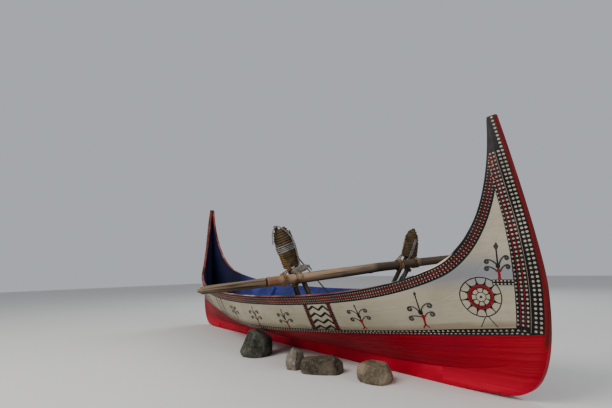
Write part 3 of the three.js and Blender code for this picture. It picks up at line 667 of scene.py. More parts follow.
# Half-widths and the bevel in metres, shares along the edge, and the counts of points
stemShape = dict(bottomHalf=0.036, noseTip=0.006, noseTurn=0.008, noseCorner=0.015, bevelRun=0.014,
                 bevelRise=0.008, cornerT=0.55, turnShare=0.295, footShare=0.6, lower=40, upper=150, across=7,
                 paintRise=0.11)


# Leading edge, nose half-width, outer and inner rabbet points of the stem, from the scarf round to the tip.
def stemLines(cfg):
    scarf = hull["scarfU"]
    u = np.linspace(scarf, 1, cfg["lower"], endpoint=False)
    t = (u - scarf) / (1 - scarf)
    foot = 1 - cfg["footShare"]
    rise = bezier(forefootRise, np.clip(1 - t / foot, 0, 1))
    turn = bezier(leadingLower, 1 - (1 - cfg["cornerT"]) * np.clip(t - foot, 0, 1) / cfg["footShare"])
    edge1 = np.where((t < foot)[:, None], rise, turn)
    back1 = hullPoint(u, 0, 1)
    flat = hullNormal(u, 0, 1) * [0, 1, 1]
    inner1 = back1 - flat / (flat * flat).sum(-1, keepdims=True) * hull["plank"]
    nose1 = mix(cfg["bottomHalf"], cfg["noseCorner"], t)
    v = np.linspace(0, 1, cfg["upper"])
    c, r = hull["chineV"], hull["chineOnRabbet"]
    s = np.where(v < c, r * v / c, mix(r, 1, (v - c) / (1 - c)))
    back2 = rabbet.share(s)
    below = s < cfg["turnShare"]
    above = np.clip((s - cfg["turnShare"]) / (1 - cfg["turnShare"]), 0, 1)
    upper = Guide(bezier(leadingUpper[::-1], np.linspace(0, 1, 401)))
    share = np.clip(1 - s / cfg["turnShare"], 0, 1)
    edge2 = np.where(below[:, None], bezier(leadingLower, cfg["cornerT"] * share), upper.share(above))
    nose2 = np.where(below, mix(cfg["noseCorner"], cfg["noseTurn"], s / cfg["turnShare"]),
                     mix(cfg["noseTurn"], cfg["noseTip"], above))
    inner2 = back2 * [1, 0.5, 1]
    return (np.vstack([edge1, edge2]), np.concatenate([nose1, nose2]), np.vstack([back1, back2]),
            np.vstack([inner1, inner2]))


# A stem: each ring goes from the nose over its bevel straight to the rabbet, and round the other side.
def stemGrid(cfg):
    edge, nose, back, inner = stemLines(cfg)
    reach = back - edge
    run = cfg["bevelRun"] / np.hypot(reach[:, 0], reach[:, 2])
    bevel = edge + reach * run[:, None]
    bevel[:, 1] = nose + cfg["bevelRise"]
    front = edge.copy()
    front[:, 1] = nose
    w = np.linspace(0, 1, cfg["across"])[None, :, None]
    cheek = bevel[:, None] * (1 - w) + back[:, None] * w
    half = np.concatenate([front[:, None], cheek, inner[:, None]], 1)
    return np.concatenate([half, half[:, ::-1] * [1, -1, 1]], 1)


stemRings = stemGrid(stemShape)


# One end's stem: the grid mirrored to that end. Its paint line goes on from the chine's end, rising with x.
def addStem(name, end):
    rings = stemRings * [end, 1, 1]
    count, n = rings.shape[:2]
    flat = rings.reshape(-1, 3)
    marks = outsideMarks(flat, np.zeros(len(flat), bool))
    beyond = np.maximum(np.abs(flat[:, 0]) - chineEnd[0], 0)
    marks["low"] = flat[:, 2] - chineEnd[2] - stemShape["paintRise"] * beyond
    half = n // 2
    ring = np.zeros(n)
    ring[half - 1] = 1
    slots = [np.tile(ring, count - 1), np.zeros(2)]
    mesh = meshOf(name, flat, [wallFaces(count, n), endFaces(count, n)], slots, marks)
    addPiece(name + "_carved", mesh, ["hull", "blue"], [name], 40.0)


addStem("stem_bow", 1)
addStem("stem_stern", -1)
print("stems made")


# The weld's reach in metres, the bevel's segments and least angle, and how far up a face looks to count so
rounding = dict(weld=0.00002, segments=2, angle=30, upward=0.6)


# A CAD node's own mesh, merged and with its edges rounded by a bevel that is applied. Faces that look up get
# the second material, if there is one. The fibre mark is the place, with the fibre's axis turned to be last.
def addRounded(node, width, materials, fibreAxis=1):
    source = bpy.data.objects.new(node + "_rough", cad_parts[node].data.copy())
    bpy.context.scene.collection.objects.link(source)
    weld = source.modifiers.new("weld", "WELD")
    weld.merge_threshold = rounding["weld"]
    bevel = source.modifiers.new("bevel", "BEVEL")
    bevel.width, bevel.segments, bevel.use_clamp_overlap = width, rounding["segments"], True
    bevel.limit_method, bevel.angle_limit = "ANGLE", math.radians(rounding["angle"])
    ready = source.evaluated_get(bpy.context.evaluated_depsgraph_get())
    mesh = bpy.data.meshes.new_from_object(ready)
    bpy.data.objects.remove(source)
    mesh.materials.clear()
    places = np.zeros(len(mesh.vertices) * 3, np.float32)
    mesh.vertices.foreach_get("co", places)
    places = np.roll(places.reshape(-1, 3), 2 - fibreAxis, axis=1)
    mesh.attributes.new("fibre", "FLOAT_VECTOR", "POINT").data.foreach_set("vector", places.ravel())
    facing = np.zeros(len(mesh.polygons) * 3, np.float32)
    mesh.polygons.foreach_get("normal", facing)
    upwards = (facing[2::3] > rounding["upward"]) * (len(materials) - 1)
    mesh.polygons.foreach_set("material_index", upwards.astype(np.int32))
    addPiece(node + "_worked", mesh, materials, [node], 30.0)


addRounded("keel", 0.003, ["red", "blue"], 0)
for node in ("frame_bow", "frame_waist", "frame_stern"):
    addRounded(node, 0.003, ["blue"])
addRounded("seat", 0.004, ["blue"])
addRounded("foot_brace", 0.0015, ["bar"])
print("keel, frames and seat made")


# Raised work: how far it stands proud and goes in, a line's step, a shape's top as a share of its foot, how
# far apart the places are that give a normal, the surface's counts of points, and from where a ray has missed
carving = dict(lift=0.0009, sink=0.0005, step=0.009, top=0.78, probe=0.0015, columns=801, rows=81,
               missed=0.99)
art = {}


# The outer surface of one side as one plain mesh, for the carving to be laid on.
def makeFormer(side):
    columns, rows = carving["columns"], carving["rows"]
    us, vs = np.meshgrid(np.linspace(-1, 1, columns), np.linspace(0, 1, rows), indexing="ij")
    points, groups = [hullPoint(us, vs, side).reshape(-1, 3)], [wallFaces(columns, rows, False)]
    for end in (-1, 1):
        cheek = stemRings[:, :stemShape["across"] + 1] * [end, side, 1]
        groups.append(wallFaces(len(cheek), cheek.shape[1], False, sum(map(len, points))))
        points.append(cheek.reshape(-1, 3))
    former = bpy.data.objects.new("former", meshOf("former", np.vstack(points), groups, closed=False))
    bpy.context.scene.collection.objects.link(former)
    return former


# Points taken straight across the boat onto the surface, from a metre out, with the surface's normals from
# two neighbours. Where they miss they stay a metre out, and count as NaN.
def drape(former, side, places):
    places = np.asarray(places, float)
    flat = places.reshape(-1, 3).copy()
    flat[:, 1] = side
    step = carving["probe"]
    inwards = -np.sign(flat[:, :1]) * [[step, 0, 0]]
    rays = np.vstack([flat, flat + inwards, flat - [0, 0, step]])
    cloud = bpy.data.objects.new("cloud", bpy.data.meshes.new("cloud"))
    cloud.data.vertices.add(len(rays))
    cloud.data.vertices.foreach_set("co", rays.astype(np.float32).ravel())
    bpy.context.scene.collection.objects.link(cloud)
    wrap = cloud.modifiers.new("wrap", "SHRINKWRAP")
    wrap.target, wrap.wrap_method, wrap.use_project_y = former, "PROJECT", True
    wrap.use_positive_direction, wrap.use_negative_direction = side < 0, side > 0
    ready = cloud.evaluated_get(bpy.context.evaluated_depsgraph_get()).to_mesh()
    landed = np.zeros(len(rays) * 3, np.float32)
    ready.vertices.foreach_get("co", landed)
    bpy.data.objects.remove(cloud)
    landed = landed.reshape(3, -1, 3).astype(float)
    landed[np.abs(landed[..., 1]) > carving["missed"]] = np.nan
    normal = np.cross(landed[1] - landed[0], landed[2] - landed[0])
    normal *= np.sign(normal[:, 1:2]) * side
    normal /= np.linalg.norm(normal, axis=-1, keepdims=True)
    normal = np.where(np.isnan(normal), [0, side, 0], normal)
    return landed[0].reshape(places.shape), normal.reshape(places.shape)


# Raised shapes: each is a ring of points in the surface with a smaller ring lifted off it, and a flat top.
def inlay(former, side, material, middles, axisA, axisB, shape, lift=carving["lift"]):
    middles, axisA, axisB = (np.asarray(x, float).reshape(-1, 1, 3) for x in (middles, axisA, axisB))
    shape = np.asarray(shape, float)
    shape = np.broadcast_to(shape, (len(middles), *shape.shape[-2:]))
    ring = np.concatenate([shape, shape * carving["top"]], 1)
    places, normal = drape(former, side, middles + axisA * ring[..., :1] + axisB * ring[..., 1:])
    n = shape.shape[1]
    lifts = np.repeat([-carving["sink"], lift], n)
    points = places + normal * lifts[None, :, None]
    points = points[~np.isnan(points).any((1, 2))]
    starts = np.arange(len(points))[:, None] * 2 * n
    k = np.arange(n)
    walls = np.stack([k, (k + 1) % n, (k + 1) % n + n, k + n], -1)
    walls = (starts[:, None] + walls[None]).reshape(-1, 4)
    caps = np.concatenate([starts + k[::-1], starts + n + k])
    keepArt(side, material, points.reshape(-1, 3), [walls, caps])


# A raised line of a given half-width along a path; a closed one joins its end to its start.
def ribbon(former, side, material, path, across, half, closed=False):
    path, across = np.asarray(path, float), np.asarray(across, float)
    half = np.broadcast_to(half, len(path))[:, None, None]
    offsets = np.array([-1, -0.7, 0.7, 1])[None, :, None]
    places, normal = drape(former, side, path[:, None] + across[:, None] * offsets * half)
    lifts = np.array([-carving["sink"], carving["lift"], carving["lift"], -carving["sink"]])
    points = places + normal * lifts[None, :, None]
    good = ~np.isnan(points).any((1, 2))
    points = points[good]
    count = len(points)
    if count < 2:
        return
    if closed and good.all():
        points = np.vstack([points, points[:1]])
        walls = wallFaces(count, 4)
        last = (count - 1) * 4 + np.arange(4)
        nearby = np.roll(last, -1)
        walls = np.vstack([walls, np.stack([last, nearby, np.roll(np.arange(4), -1), np.arange(4)], -1)])
        keepArt(side, material, points[:count].reshape(-1, 3), [walls])
    else:
        keepArt(side, material, points.reshape(-1, 3), [wallFaces(count, 4), endFaces(count, 4)])


# Faces are kept by their number of sides until all the carving of one colour becomes one mesh.
def keepArt(side, material, points, groups):
    held = art.setdefault((side, material), dict(points=[], count=0, groups={}))
    for group in groups:
        held["groups"].setdefault(group.shape[1], []).append(group + held["count"])
    held["points"].append(points)
    held["count"] += len(points)


# Directions in a surface at places of it: along a given way, and square to that.
def inSurface(normal, way):
    along = way - normal * (way * normal).sum(-1, keepdims=True)
    along /= np.linalg.norm(along, axis=-1, keepdims=True)
    return along, np.cross(normal, along)


# An even polygon in an ellipse of half-sizes a and b.
def polygon(sides, a, b, turn=0.0):
    angle = np.arange(sides) * 2 * np.pi / sides + turn
    return np.stack([a * np.cos(angle), b * np.sin(angle)], -1)


# The middles of equal steps of about one pitch that fill a length.
def evenly(length, pitch):
    count = int(round(length / pitch))
    return (np.arange(count) + 0.5) * length / count


# One band's rows of shapes and its lines, on one quarter of the boat: edge gives places at lengths s from its
# start and into the direction from there into the band; keep says which places belong to it.
def layBand(former, side, end, edge, into, rows, lines, keep, halfLine=0.0012):
    flip = np.array([end, side, 1.0])

    def places(s, distance):
        reach = distance * narrowing(edge.at(s)[:, 2:]) if into.narrows else distance
        return edge.at(s) + into.at(s) * reach

    for distance, pitch, shape, material in rows:
        s = evenly(edge.length, pitch)
        middle = places(s, distance)
        good = keep(middle, distance)
        middle, along = middle[good] * flip, edge.tangent(s)[good] * flip
        inlay(former, side, material, middle, along, into.at(s)[good] * flip, shape)
    for distance, material in lines:
        s = np.arange(0, edge.length + carving["step"], carving["step"])
        path = places(s, distance)
        good = keep(path, distance)
        ribbon(former, side, material, (path * flip)[good], (into.at(s) * flip)[good], halfLine)


# Directions kept at lengths along an edge.
class Into:
    def __init__(self, edge, directions, narrows=False):
        self.edge, self.directions, self.narrows = edge, directions, narrows

    # Unit direction at lengths s
    def at(self, s):
        d = np.stack([np.interp(s, self.edge.along, self.directions[:, k]) for k in range(3)], -1)
        return d / np.linalg.norm(d, axis=-1, keepdims=True)


# The three bands' edges on the quarter, and the ways into the bands: down from the sheer, in from the leading
# edge in side view, and up from the chine.
def makeEdges():
    u = 1 - np.linspace(0, 1, 301)**1.3
    top = hullPoint(u, 1.0, 1)
    down = hullPoint(u, 0.94, 1) - top
    sheer = Guide(top)
    way = sheer.tangent(sheer.along)
    down -= way * (down * way).sum(-1, keepdims=True)
    lead = Guide(leadGuide.points[leadGuide.points[:, 2] > chineEnd[2] - 0.003])
    way = lead.tangent(lead.along)
    aft = np.stack([-way[:, 2], way[:, 1] * 0, way[:, 0]], -1)
    aft *= -np.sign(aft[:, :1])
    nose = leadGuide.at(np.interp(chineEnd[2], leadLow[:, 2], leadGuide.along[:len(leadLow)]))
    backwards = 1 - dense
    planked = hullPoint(backwards, hull["chineV"], 1)
    chine = Guide(np.vstack([[[nose[0], 0.02, chineEnd[2]]], planked]))
    up = hullPoint(backwards, hull["chineV"] + 0.05, 1) - planked
    up = np.vstack([[0, 0, 1], up * [0, 1, 1]])
    return dict(sheer=(sheer, Into(sheer, down)), lead=(lead, Into(lead, aft, True)),
                chine=(chine, Into(chine, up)))


edges = makeEdges()


# How far places are into the sheer band, as a share of its width; behind the leading edge, in metres where
# the stem band is at its full width; and into the stem band's inner part, as a share of that.
def bandShares(points):
    quarter = np.abs(points)
    sheer = sheerGuide.nearest(quarter)[1] / bands["sheer"]
    lead = leadGuide.nearest(quarter * [1, 0, 1])[1] / narrowing(quarter[:, 2])
    return sheer, lead, (lead - bands["paleLine"]) / (bands["stem"] - bands["paleLine"])


# Which places belong to a band, of those at a distance from its edge. Where the sheer band meets the stem
# band's inner part, a place goes to the one that it is less far into. Towards the tip the painting has faded.
def keepSheer(points, distance):
    sheer, _, inner = bandShares(points)
    return (inner > 0) & (inner >= sheer) & (points[:, 2] < bands["fade"] - 0.02)


# The stem band's outer rows go down to the chine and its inner ones end above the chine band. It keeps off
# the sheer, and above the faded height only its first row goes on.
def keepStem(points, distance):
    sheer, _, inner = bandShares(points)
    outer = distance < bands["paleLine"] + 0.001
    above = points[:, 2] > chineEnd[2] + np.where(outer, 0.006, bands["chine"] + 0.003)
    faded = (points[:, 2] > bands["fade"]) & (distance > bands["stemRows"][0])
    return above & ((sheer >= inner) | outer) & (sheer > 0.12) & ~faded


# The chine band ends at the stem band's outer part.
def keepChine(points, distance):
    return bandShares(points)[1] > bands["paleLine"] + 0.003


# The sheer band: a row of diamonds between two of triangles, and red lines.
def sheerWork(former, side, end):
    triangle = np.array([[-0.0041, -0.0034], [0.0041, -0.0034], [0, 0.0038]])
    diamond = polygon(4, 0.0042, 0.004)
    pitch = bands["sheerPitch"]
    rows = [(d, pitch, shape, "dull") for d, shape in zip(bands["sheerRows"], (triangle, diamond, triangle))]
    lines = [(d, "lineRed") for d in bands["sheerLines"]]
    layBand(former, side, end, *edges["sheer"], rows, lines, keepSheer, 0.0015)


# The stem band: two rows of larger dots, two of smaller ones and one of teeth, with red lines and a pale one.
def stemWork(former, side, end):
    pitch, d = bands["stemPitch"], bands["stemRows"]
    dot = polygon(6, 0.0048, 0.0044, 0.52)
    tooth = np.array([[-0.0048, 0.0034], [0.0048, 0.0034], [0, -0.004]])
    rows = [(d[0], pitch, polygon(6, 0.0055, 0.0054, 0.52), "white"),
            (d[1], pitch, polygon(6, 0.0053, 0.0052, 0.52), "white"),
            (d[2], pitch, dot, "white"), (d[3], pitch, dot, "white"), (d[4], pitch, tooth, "white")]
    lines = [(x, "lineRed") for x in bands["stemLines"]] + [(bands["paleLine"], "pale")]
    layBand(former, side, end, *edges["lead"], rows, lines, keepStem)


# The chine band: diamonds, triangles above them, and a thin red line along the chine.
def chineWork(former, side, end):
    pitch = bands["chinePitch"]
    low, high = bands["chineRows"]
    rows = [(low, pitch, polygon(4, 0.0064, 0.0032), "white"),
            (high, pitch * 1.15, np.array([[-0.0068, -0.003], [0.0068, -0.003], [0, 0.005]]), "white")]
    layBand(former, side, end, *edges["chine"], rows, [(0.0018, "lineRed")], keepChine, 0.0008)


# A flat drawing's frame on the planking: its middle, the way towards the end that it is laid out for, and up.
class Sheet:
    def __init__(self, former, side, end, u, v, scale=1.0):
        self.former, self.side, self.scale = former, side, scale
        self.middle = hullPoint(end * u, v, side).reshape(3)
        normal = hullNormal(end * u, v, side).reshape(3)
        self.right, up = inSurface(normal, np.array([float(end), 0, 0]))
        self.up = up * np.sign(up[2])

    # Places on the boat from steps to the right and up
    def to(self, points):
        points = np.asarray(points, float) * self.scale
        return self.middle + points[..., :1] * self.right + points[..., 1:] * self.up

    # A raised shape round a middle on the sheet
    def shape(self, material, points, middle=(0, 0)):
        right, up = self.right * self.scale, self.up * self.scale
        inlay(self.former, self.side, material, self.to(middle), right, up, points)

    # A line through points given on the sheet, its half-widths matching them
    def line(self, material, points, half, closed=False):
        points = np.asarray(points, float)
        way = np.roll(points, -1, 0) - np.roll(points, 1, 0) if closed else np.gradient(points, axis=0)
        way /= np.linalg.norm(way, axis=-1, keepdims=True)
        square = np.stack([-way[:, 1], way[:, 0]], -1)
        across = square[:, :1] * self.right + square[:, 1:] * self.up
        half = np.asarray(half) * self.scale
        ribbon(self.former, self.side, material, self.to(points), across, half, closed)


# The eye, in metres on its sheet: u, v and scale; rings by radius, half-width and count of points; spokes by
# count, shift, radii and half-widths; legs by places and half-widths.
eye = dict(
    at=(0.898, 0.494, 0.97), dot=0.0055,
    rings=(("black", 0.0765, 0.0022, 64), ("black", 0.0485, 0.0016, 48), ("lineRed", 0.0415, 0.0058, 48),
           ("black", 0.035, 0.0015, 40), ("black", 0.0185, 0.0016, 24)),
    spokes=((12, 0.3, (0.0485, 0.054, 0.062, 0.0765), (0.0085, 0.0046, 0.0022, 0.0019)),
            (8, 0.5, (0.0355, 0.031, 0.026, 0.0185), (0.0052, 0.003, 0.0019, 0.0016))),
    legs=((((0.0054, -0.077), (-0.0176, -0.1165)), (0.0018, 0.0017)),
          (((0.0165, -0.075), (0.0325, -0.097), (0.0477, -0.1155)), (0.0018, 0.0017, 0.0016))),
)


# A thin outer ring, cells between spokes, a red ring between black ones, petals, a centre dot and two legs.
def eyeWork(sheet):
    for material, radius, half, count in eye["rings"]:
        sheet.line(material, polygon(count, radius, radius), half, closed=True)
    sheet.shape("black", polygon(12, eye["dot"], eye["dot"]))
    for count, shift, radii, halves in eye["spokes"]:
        for k in range(count):
            angle = (k + shift) * 2 * math.pi / count
            sheet.line("black", np.outer(radii, [math.cos(angle), math.sin(angle)]), halves)
    for places, halves in eye["legs"]:
        sheet.line("black", places, halves)


# The little man: red legs and body, a black head with a spear on it, and four arms that end in spirals. Its
# places are millimetres on the sheet, from between the feet, and its half-widths are metres.
def manWork(sheet, man):
    def line(material, points, half):
        sheet.line(material, np.array(points) * 0.001, half)

    crotch, shoulder = np.array(man["crotch"], float), np.array(man["shoulder"], float)
    head, tip = np.array(man["head"], float), np.array(man["spear"], float)
    for foot in man["feet"]:
        knee = (mix(foot, crotch[0], 0.6), crotch[1] * 0.55)
        line("lineRed", [(foot, 1), knee, crotch], [0.003, 0.0036, 0.0046])
    line("lineRed", [crotch - [0, 3], mix(crotch, shoulder, 0.5), shoulder, mix(shoulder, head, 0.5)],
         [0.0055, 0.0052, 0.0085, 0.0036])
    wide, high = man["face"]
    sheet.shape("black", polygon(12, wide * 0.001, high * 0.001), head * 0.001)
    spear = [head + [0, high * 0.6], mix(head, tip, 0.5), tip + [0, 0.5 * man["blade"]]]
    line("black", spear, [0.0036, 0.0032, 0.003])
    blade = man["blade"] * 0.001
    leaf = np.array([(0, -1), (0.5, 0.1), (0.1, 1), (-0.5, 0.1)]) * blade
    sheet.shape("grey", leaf, tip * 0.001 + [0, blade])
    t = np.linspace(0, 1, 34)[:, None]
    for k, middle in enumerate(np.array(man["coils"], float)):
        hand, low = k % 2 * 2 - 1, k > 1
        start = shoulder + [hand * 6, -5] if low else head + [hand * wide * 0.6, high * 0.7]
        big = man["coil"]
        angle, radius = math.pi / 2 - hand * t * 3.6 * math.pi, big * (1 - 0.8 * t)
        coil = middle + radius * np.concatenate([np.cos(angle), np.sin(angle)], 1)
        rise = [start + [hand * 3, (coil[0, 1] - start[1]) * 0.5], coil[0] - [hand * big * 1.3, -1.5]]
        path = np.vstack([bezier([start, *rise, coil[0]], np.linspace(0, 1, 12))[:-1], coil])
        half = np.concatenate([np.linspace(0.0034, 0.003, 11), np.linspace(0.003, 0.0024, 34)])
        line("grey", path, half)


# A field between two slanting borders, crossed by level zigzag lines; its corners are given as (u, v), and
# places in it as shares across and down.
class Field:
    def __init__(self, side, corners):
        self.side, self.corners = side, np.array(corners)

    # Straight between the corners both ways in u and v, then on the planking
    def at(self, across, down):
        a, d = np.broadcast_arrays(np.asarray(across, float), np.asarray(down, float))
        a, d = a[..., None], d[..., None]
        c = self.corners
        uv = (c[0] * (1 - a) + c[1] * a) * (1 - d) + (c[2] * (1 - a) + c[3] * a) * d
        return hullPoint(uv[..., 0], uv[..., 1], self.side)

    # A raised line through places of the field
    def line(self, former, material, across, down, half):
        path = self.at(across, down)
        way = np.gradient(path, axis=0)
        square = np.cross(hullNormal(self.corners[0, 0], 0.6, self.side), way)
        square /= np.linalg.norm(square, axis=-1, keepdims=True)
        ribbon(former, self.side, material, path, square, half)

    # A row of like shapes down the field
    def teeth(self, former, material, across, count, shape):
        down = evenly(1, 1 / count)
        middle, further = self.at(across, down), self.at(across, down + 0.01)
        way = (further - middle) / np.linalg.norm(further - middle, axis=-1, keepdims=True)
        normal = np.broadcast_to(hullNormal(self.corners[0, 0], 0.6, self.side), way.shape)
        along, square = inSurface(normal, way)
        square = square * np.sign(square[:, :1])
        inlay(former, self.side, material, middle, along, square, shape)


# The zigzag panel: corners as (u, v), the top ones first; teeth by place across and which way they point; red
# lines by place across and half-width; zigzags by their bends as shares across and down.
zigzag = dict(
    corners=((0.391, 0.86), (0.497, 0.86), (0.359, 0.345), (0.473, 0.345)),
    tooth=((-0.0062, -0.0045), (0.0062, -0.0045), (0, 0.0055)), toothWide=1.3, toothHigh=1.6, toothCount=18,
    redLines=((0.045, 0.0026), (0.95, 0.0036)), teeth=((-0.01, -1), (0.1, 1), (0.9, -1), (1.0, 1)),
    bends=((0.12, 0.13), (0.33, 0.01), (0.51, 0.14), (0.73, 0.01), (0.88, 0.17)),
    rows=4, first=0.06, pitch=0.235, half=0.0068,
)


# Red lines and rows of teeth down the field's borders, and level zigzags straight between their bends.
def zigzagWork(former, side):
    cfg = zigzag
    field = Field(side, cfg["corners"])
    down = np.linspace(0, 1, 20)
    for across, half in cfg["redLines"]:
        field.line(former, "lineRed", 0 * down + across, down, half)
    for across, way in cfg["teeth"]:
        tooth = np.array(cfg["tooth"]) * [cfg["toothWide"], way * cfg["toothHigh"]]
        field.teeth(former, "black", across, cfg["toothCount"], tooth)
    bendAcross, bendDown = np.array(cfg["bends"]).T
    across = np.linspace(bendAcross[0], bendAcross[-1], 41)
    for row in range(cfg["rows"]):
        down = np.interp(across, bendAcross, bendDown) + cfg["first"] + cfg["pitch"] * row
        field.line(former, "black", across, down, cfg["half"])


# The band aft of amidships: its top and foot as u and v, how far in u its lines stand to each side and their
# half-width, and its diamonds' number and half-sizes. u counts towards the end that it is laid out for.
slant = dict(top=(0.316, 0.89), foot=(0.338, 0.38), shift=0.041, half=0.0095, count=7,
             diamond=(0.0095, 0.015))


# An upright band of two dark lines with a row of black diamonds between them.
def slantWork(former, side, end):
    top, foot = np.array(slant["top"]) * [end, 1], np.array(slant["foot"]) * [end, 1]
    level = np.array([1.0, 0, 0])
    for shift in (-slant["shift"], slant["shift"]):
        uv = mix(top, foot, np.linspace(0, 1, 24)[:, None]) + [shift, 0]
        path = hullPoint(uv[:, 0], uv[:, 1], side)
        ribbon(former, side, "black", path, np.tile(level, (len(path), 1)), slant["half"])
    uv = mix(top, foot, evenly(1, 1 / slant["count"])[:, None])
    middle = hullPoint(uv[:, 0], uv[:, 1], side)
    way = (hullPoint(*top, side) - hullPoint(*foot, side)).reshape(3)
    along, square = inSurface(hullNormal(uv[:, 0], uv[:, 1], side), way / np.linalg.norm(way))
    inlay(former, side, "black", middle, along, square, polygon(4, *slant["diamond"]))


# The short level strip between the eye and the stem band, in metres: a black ground with two rows of dots.
shelf = dict(z=0.422, x=(1.428, 1.506), half=0.012, apart=0.0056, inset=0.006, pitch=0.0125,
             dot=(0.0046, 0.0036))


# A level ribbon as the ground, and dots above and below its middle, raised twice as high.
def shelfWork(former, side, end):
    first, last = shelf["x"]
    level, upright = np.array([1.0, 0, 0]), np.array([0, 0, 1.0])

    def placed(x, z):
        return np.stack([end * x, x * 0, np.full(len(x), z)], -1)

    path = placed(np.linspace(first, last, 8), shelf["z"])
    ribbon(former, side, "black", path, np.tile(upright, (len(path), 1)), shelf["half"])
    for rise in (-shelf["apart"], shelf["apart"]):
        x = np.arange(first + shelf["inset"], last, shelf["pitch"])
        middle = placed(x, shelf["z"] + rise)
        across, up = np.tile(level, (len(x), 1)), np.tile(upright, (len(x), 1))
        inlay(former, side, "white", middle, across, up, polygon(6, *shelf["dot"]), lift=2 * carving["lift"])


# The men: u and v between the feet, then places in millimetres towards the bow and up. The three unseen ones
# near the stern are turned copies of those near the bow.
men = (
    dict(at=(0.955, 0.503), feet=(-5, 4), crotch=(0, 19), shoulder=(-1, 36), head=(-2, 52), face=(9, 10),
         spear=(-3, 104), blade=20, coil=8, coils=((-39, 69), (30, 81), (-41, 43), (32, 48))),
    dict(at=(0.761, 0.387), feet=(-14, 14), crotch=(1, 18), shoulder=(6, 58), head=(0, 76), face=(11, 13),
         spear=(0, 151), blade=14, coil=11.5, coils=((-39, 98), (43, 103), (-47, 52), (44, 62))),
    dict(at=(0.572, 0.396), feet=(-12, 11), crotch=(4, 15), shoulder=(7, 55), head=(10, 84), face=(9, 18),
         spear=(11, 136), blade=12, coil=11.5, coils=((-34, 115), (54, 112), (-36, 66), (55, 66))),
    dict(at=(0.245, 0.397), feet=(-5, 6), crotch=(4, 16), shoulder=(6, 39), head=(5, 64), face=(8, 12),
         spear=(6, 113), blade=11, coil=11, coils=((-34, 91), (48, 95), (-42, 46), (50, 48))),
    dict(at=(0.06, 0.358), feet=(-5, 6), crotch=(5, 20), shoulder=(12, 58), head=(10, 86), face=(8, 14),
         spear=(3, 129), blade=11, coil=11, coils=((-41, 107), (47, 110), (-37, 68), (57, 68))),
    dict(at=(-0.124, 0.468), feet=(-5, 5), crotch=(0, 14), shoulder=(-4, 30), head=(-3, 48), face=(8, 10),
         spear=(-11, 88), blade=9, coil=11, coils=((-50, 78), (27, 82), (-50, 43), (50, 50))),
)
standing = [(1, man) for man in men] + [(-1, man) for man in men[:3]]
for side, sideName in ((-1, "starboard"), (1, "port")):
    former = makeFormer(side)
    for end in (-1, 1):
        sheerWork(former, side, end)
        stemWork(former, side, end)
        chineWork(former, side, end)
        shelfWork(former, side, end)
        eyeWork(Sheet(former, side, end, *eye["at"]))
    slantWork(former, side, -1)
    zigzagWork(former, side)
    for end, man in standing:
        manWork(Sheet(former, side, end, *man["at"]), man)
    bpy.data.objects.remove(former)
    for (madeSide, material), held in art.items():
        if madeSide == side:
            groups = [np.vstack(g) for g in held["groups"].values()]
            mesh = meshOf(f"carving_{material}_{sideName}", np.vstack(held["points"]), groups)
            addPiece(mesh.name, mesh, [material], sharp=20.0)
print("carving made")


# The crossbar's axis, the crutches' legs and the windings, as the CAD has them, in metres
rig = dict(barX=0.5536, barZ=0.4703, yaw=0.238, rise=0.089, half=0.812, barR=0.027, legR=0.016, gap=0.0003,
           depths=(0.034, 0.038, 0.042, 0.044, 0.038, 0.027, 0.018),
           shares=(0, 0.08, 0.3, 0.5, 0.75, 0.92, 1), legAbove=0.016, stayR=0.006)
fibreRadius = 0.02  # the fibre mark's reach across every round piece, whatever its radius
legAft = (rig["barR"] + rig["legR"] + rig["gap"]) * math.hypot(1, rig["yaw"])
# Legs and axes: y at the top height, slope, foot height, head height if inside, where it bends and its low
# slope. Runs of turns: share of the height from and to, rope radius, material's number, growth, slant, depth
# of the lay. A loop's places: y, z and how far forward. A strap's: share of the winding's height and degrees.
crutches = (
    dict(
        name="starboard", side=-1, top=0.712, outer=dict(y=0.401, slope=0.328, foot=0.1),
        inner=dict(y=0.381, slope=0.447, foot=0.075, head=0.69, finish="legLight"),
        axis=dict(y=0.38, slope=0.3),
        wound=(0.503, 0.708), widths=(0.046, 0.048, 0.05, 0.054, 0.054, 0.044, 0.036),
        # The first run is the gold rope, a painted highlight where the thin dark run over it sinks outboard.
        runs=((0.015, 0.44, 0.0056, 2, -0.0018, 0.0, 0.1), (0.005, 0.43, 0.0027, 0, 0.0004, 0.0, 0.04),
              (0.42, 0.6, 0.0042, 1, 0.0018, -0.024, 0.13), (0.61, 0.985, 0.0068, 0, 0.0, -0.03, 0.12)),
        stay=dict(shares=(0.9, 0.5, 0.15), turns=(0, 0, 0), crossing=0.2, foot=(-0.135, 0.094, -0.032),
                  ropes=("paleRope", "greyRope"),
                  loop=((-0.427, 0.62, 0.02), (-0.432, 0.657, 0.02), (-0.428, 0.689, 0.018),
                        (-0.415, 0.716, 0.012), (-0.398, 0.727, 0.012), (-0.358, 0.69, 0.036),
                        (-0.326, 0.645, 0.045), (-0.315, 0.591, 0.045), (-0.292, 0.512, 0.04),
                        (-0.273, 0.485, 0.035))),
        wraps=-0.386, strap=((0.12, 119), (0.0, 119)),
    ),
    dict(
        name="port", side=1, top=0.717,
        outer=dict(y=0.472, slope=0.23, foot=0.1, head=0.718, bend=(0.48, 0.78)),
        inner=dict(y=0.522, slope=0.67, foot=0.075, head=0.592, bend=(0.395, 0.76)),
        axis=dict(y=0.466, slope=0.22),
        wound=(0.541, 0.712), widths=(0.051, 0.05, 0.048, 0.046, 0.04, 0.025, 0.016),
        runs=((0.015, 0.985, 0.0048, 0, 0.0, 0.02, 0.1),),
        stay=dict(shares=(0.62, 0.3, 0.03), turns=(90, 77, 69), crossing=0.4025, foot=(0.19, 0.13, 0.06),
                  ropes=("paleRope", "paleRope")),
        wraps=0.312, strap=((0.62, 12), (0.05, 4)),
    ),
)
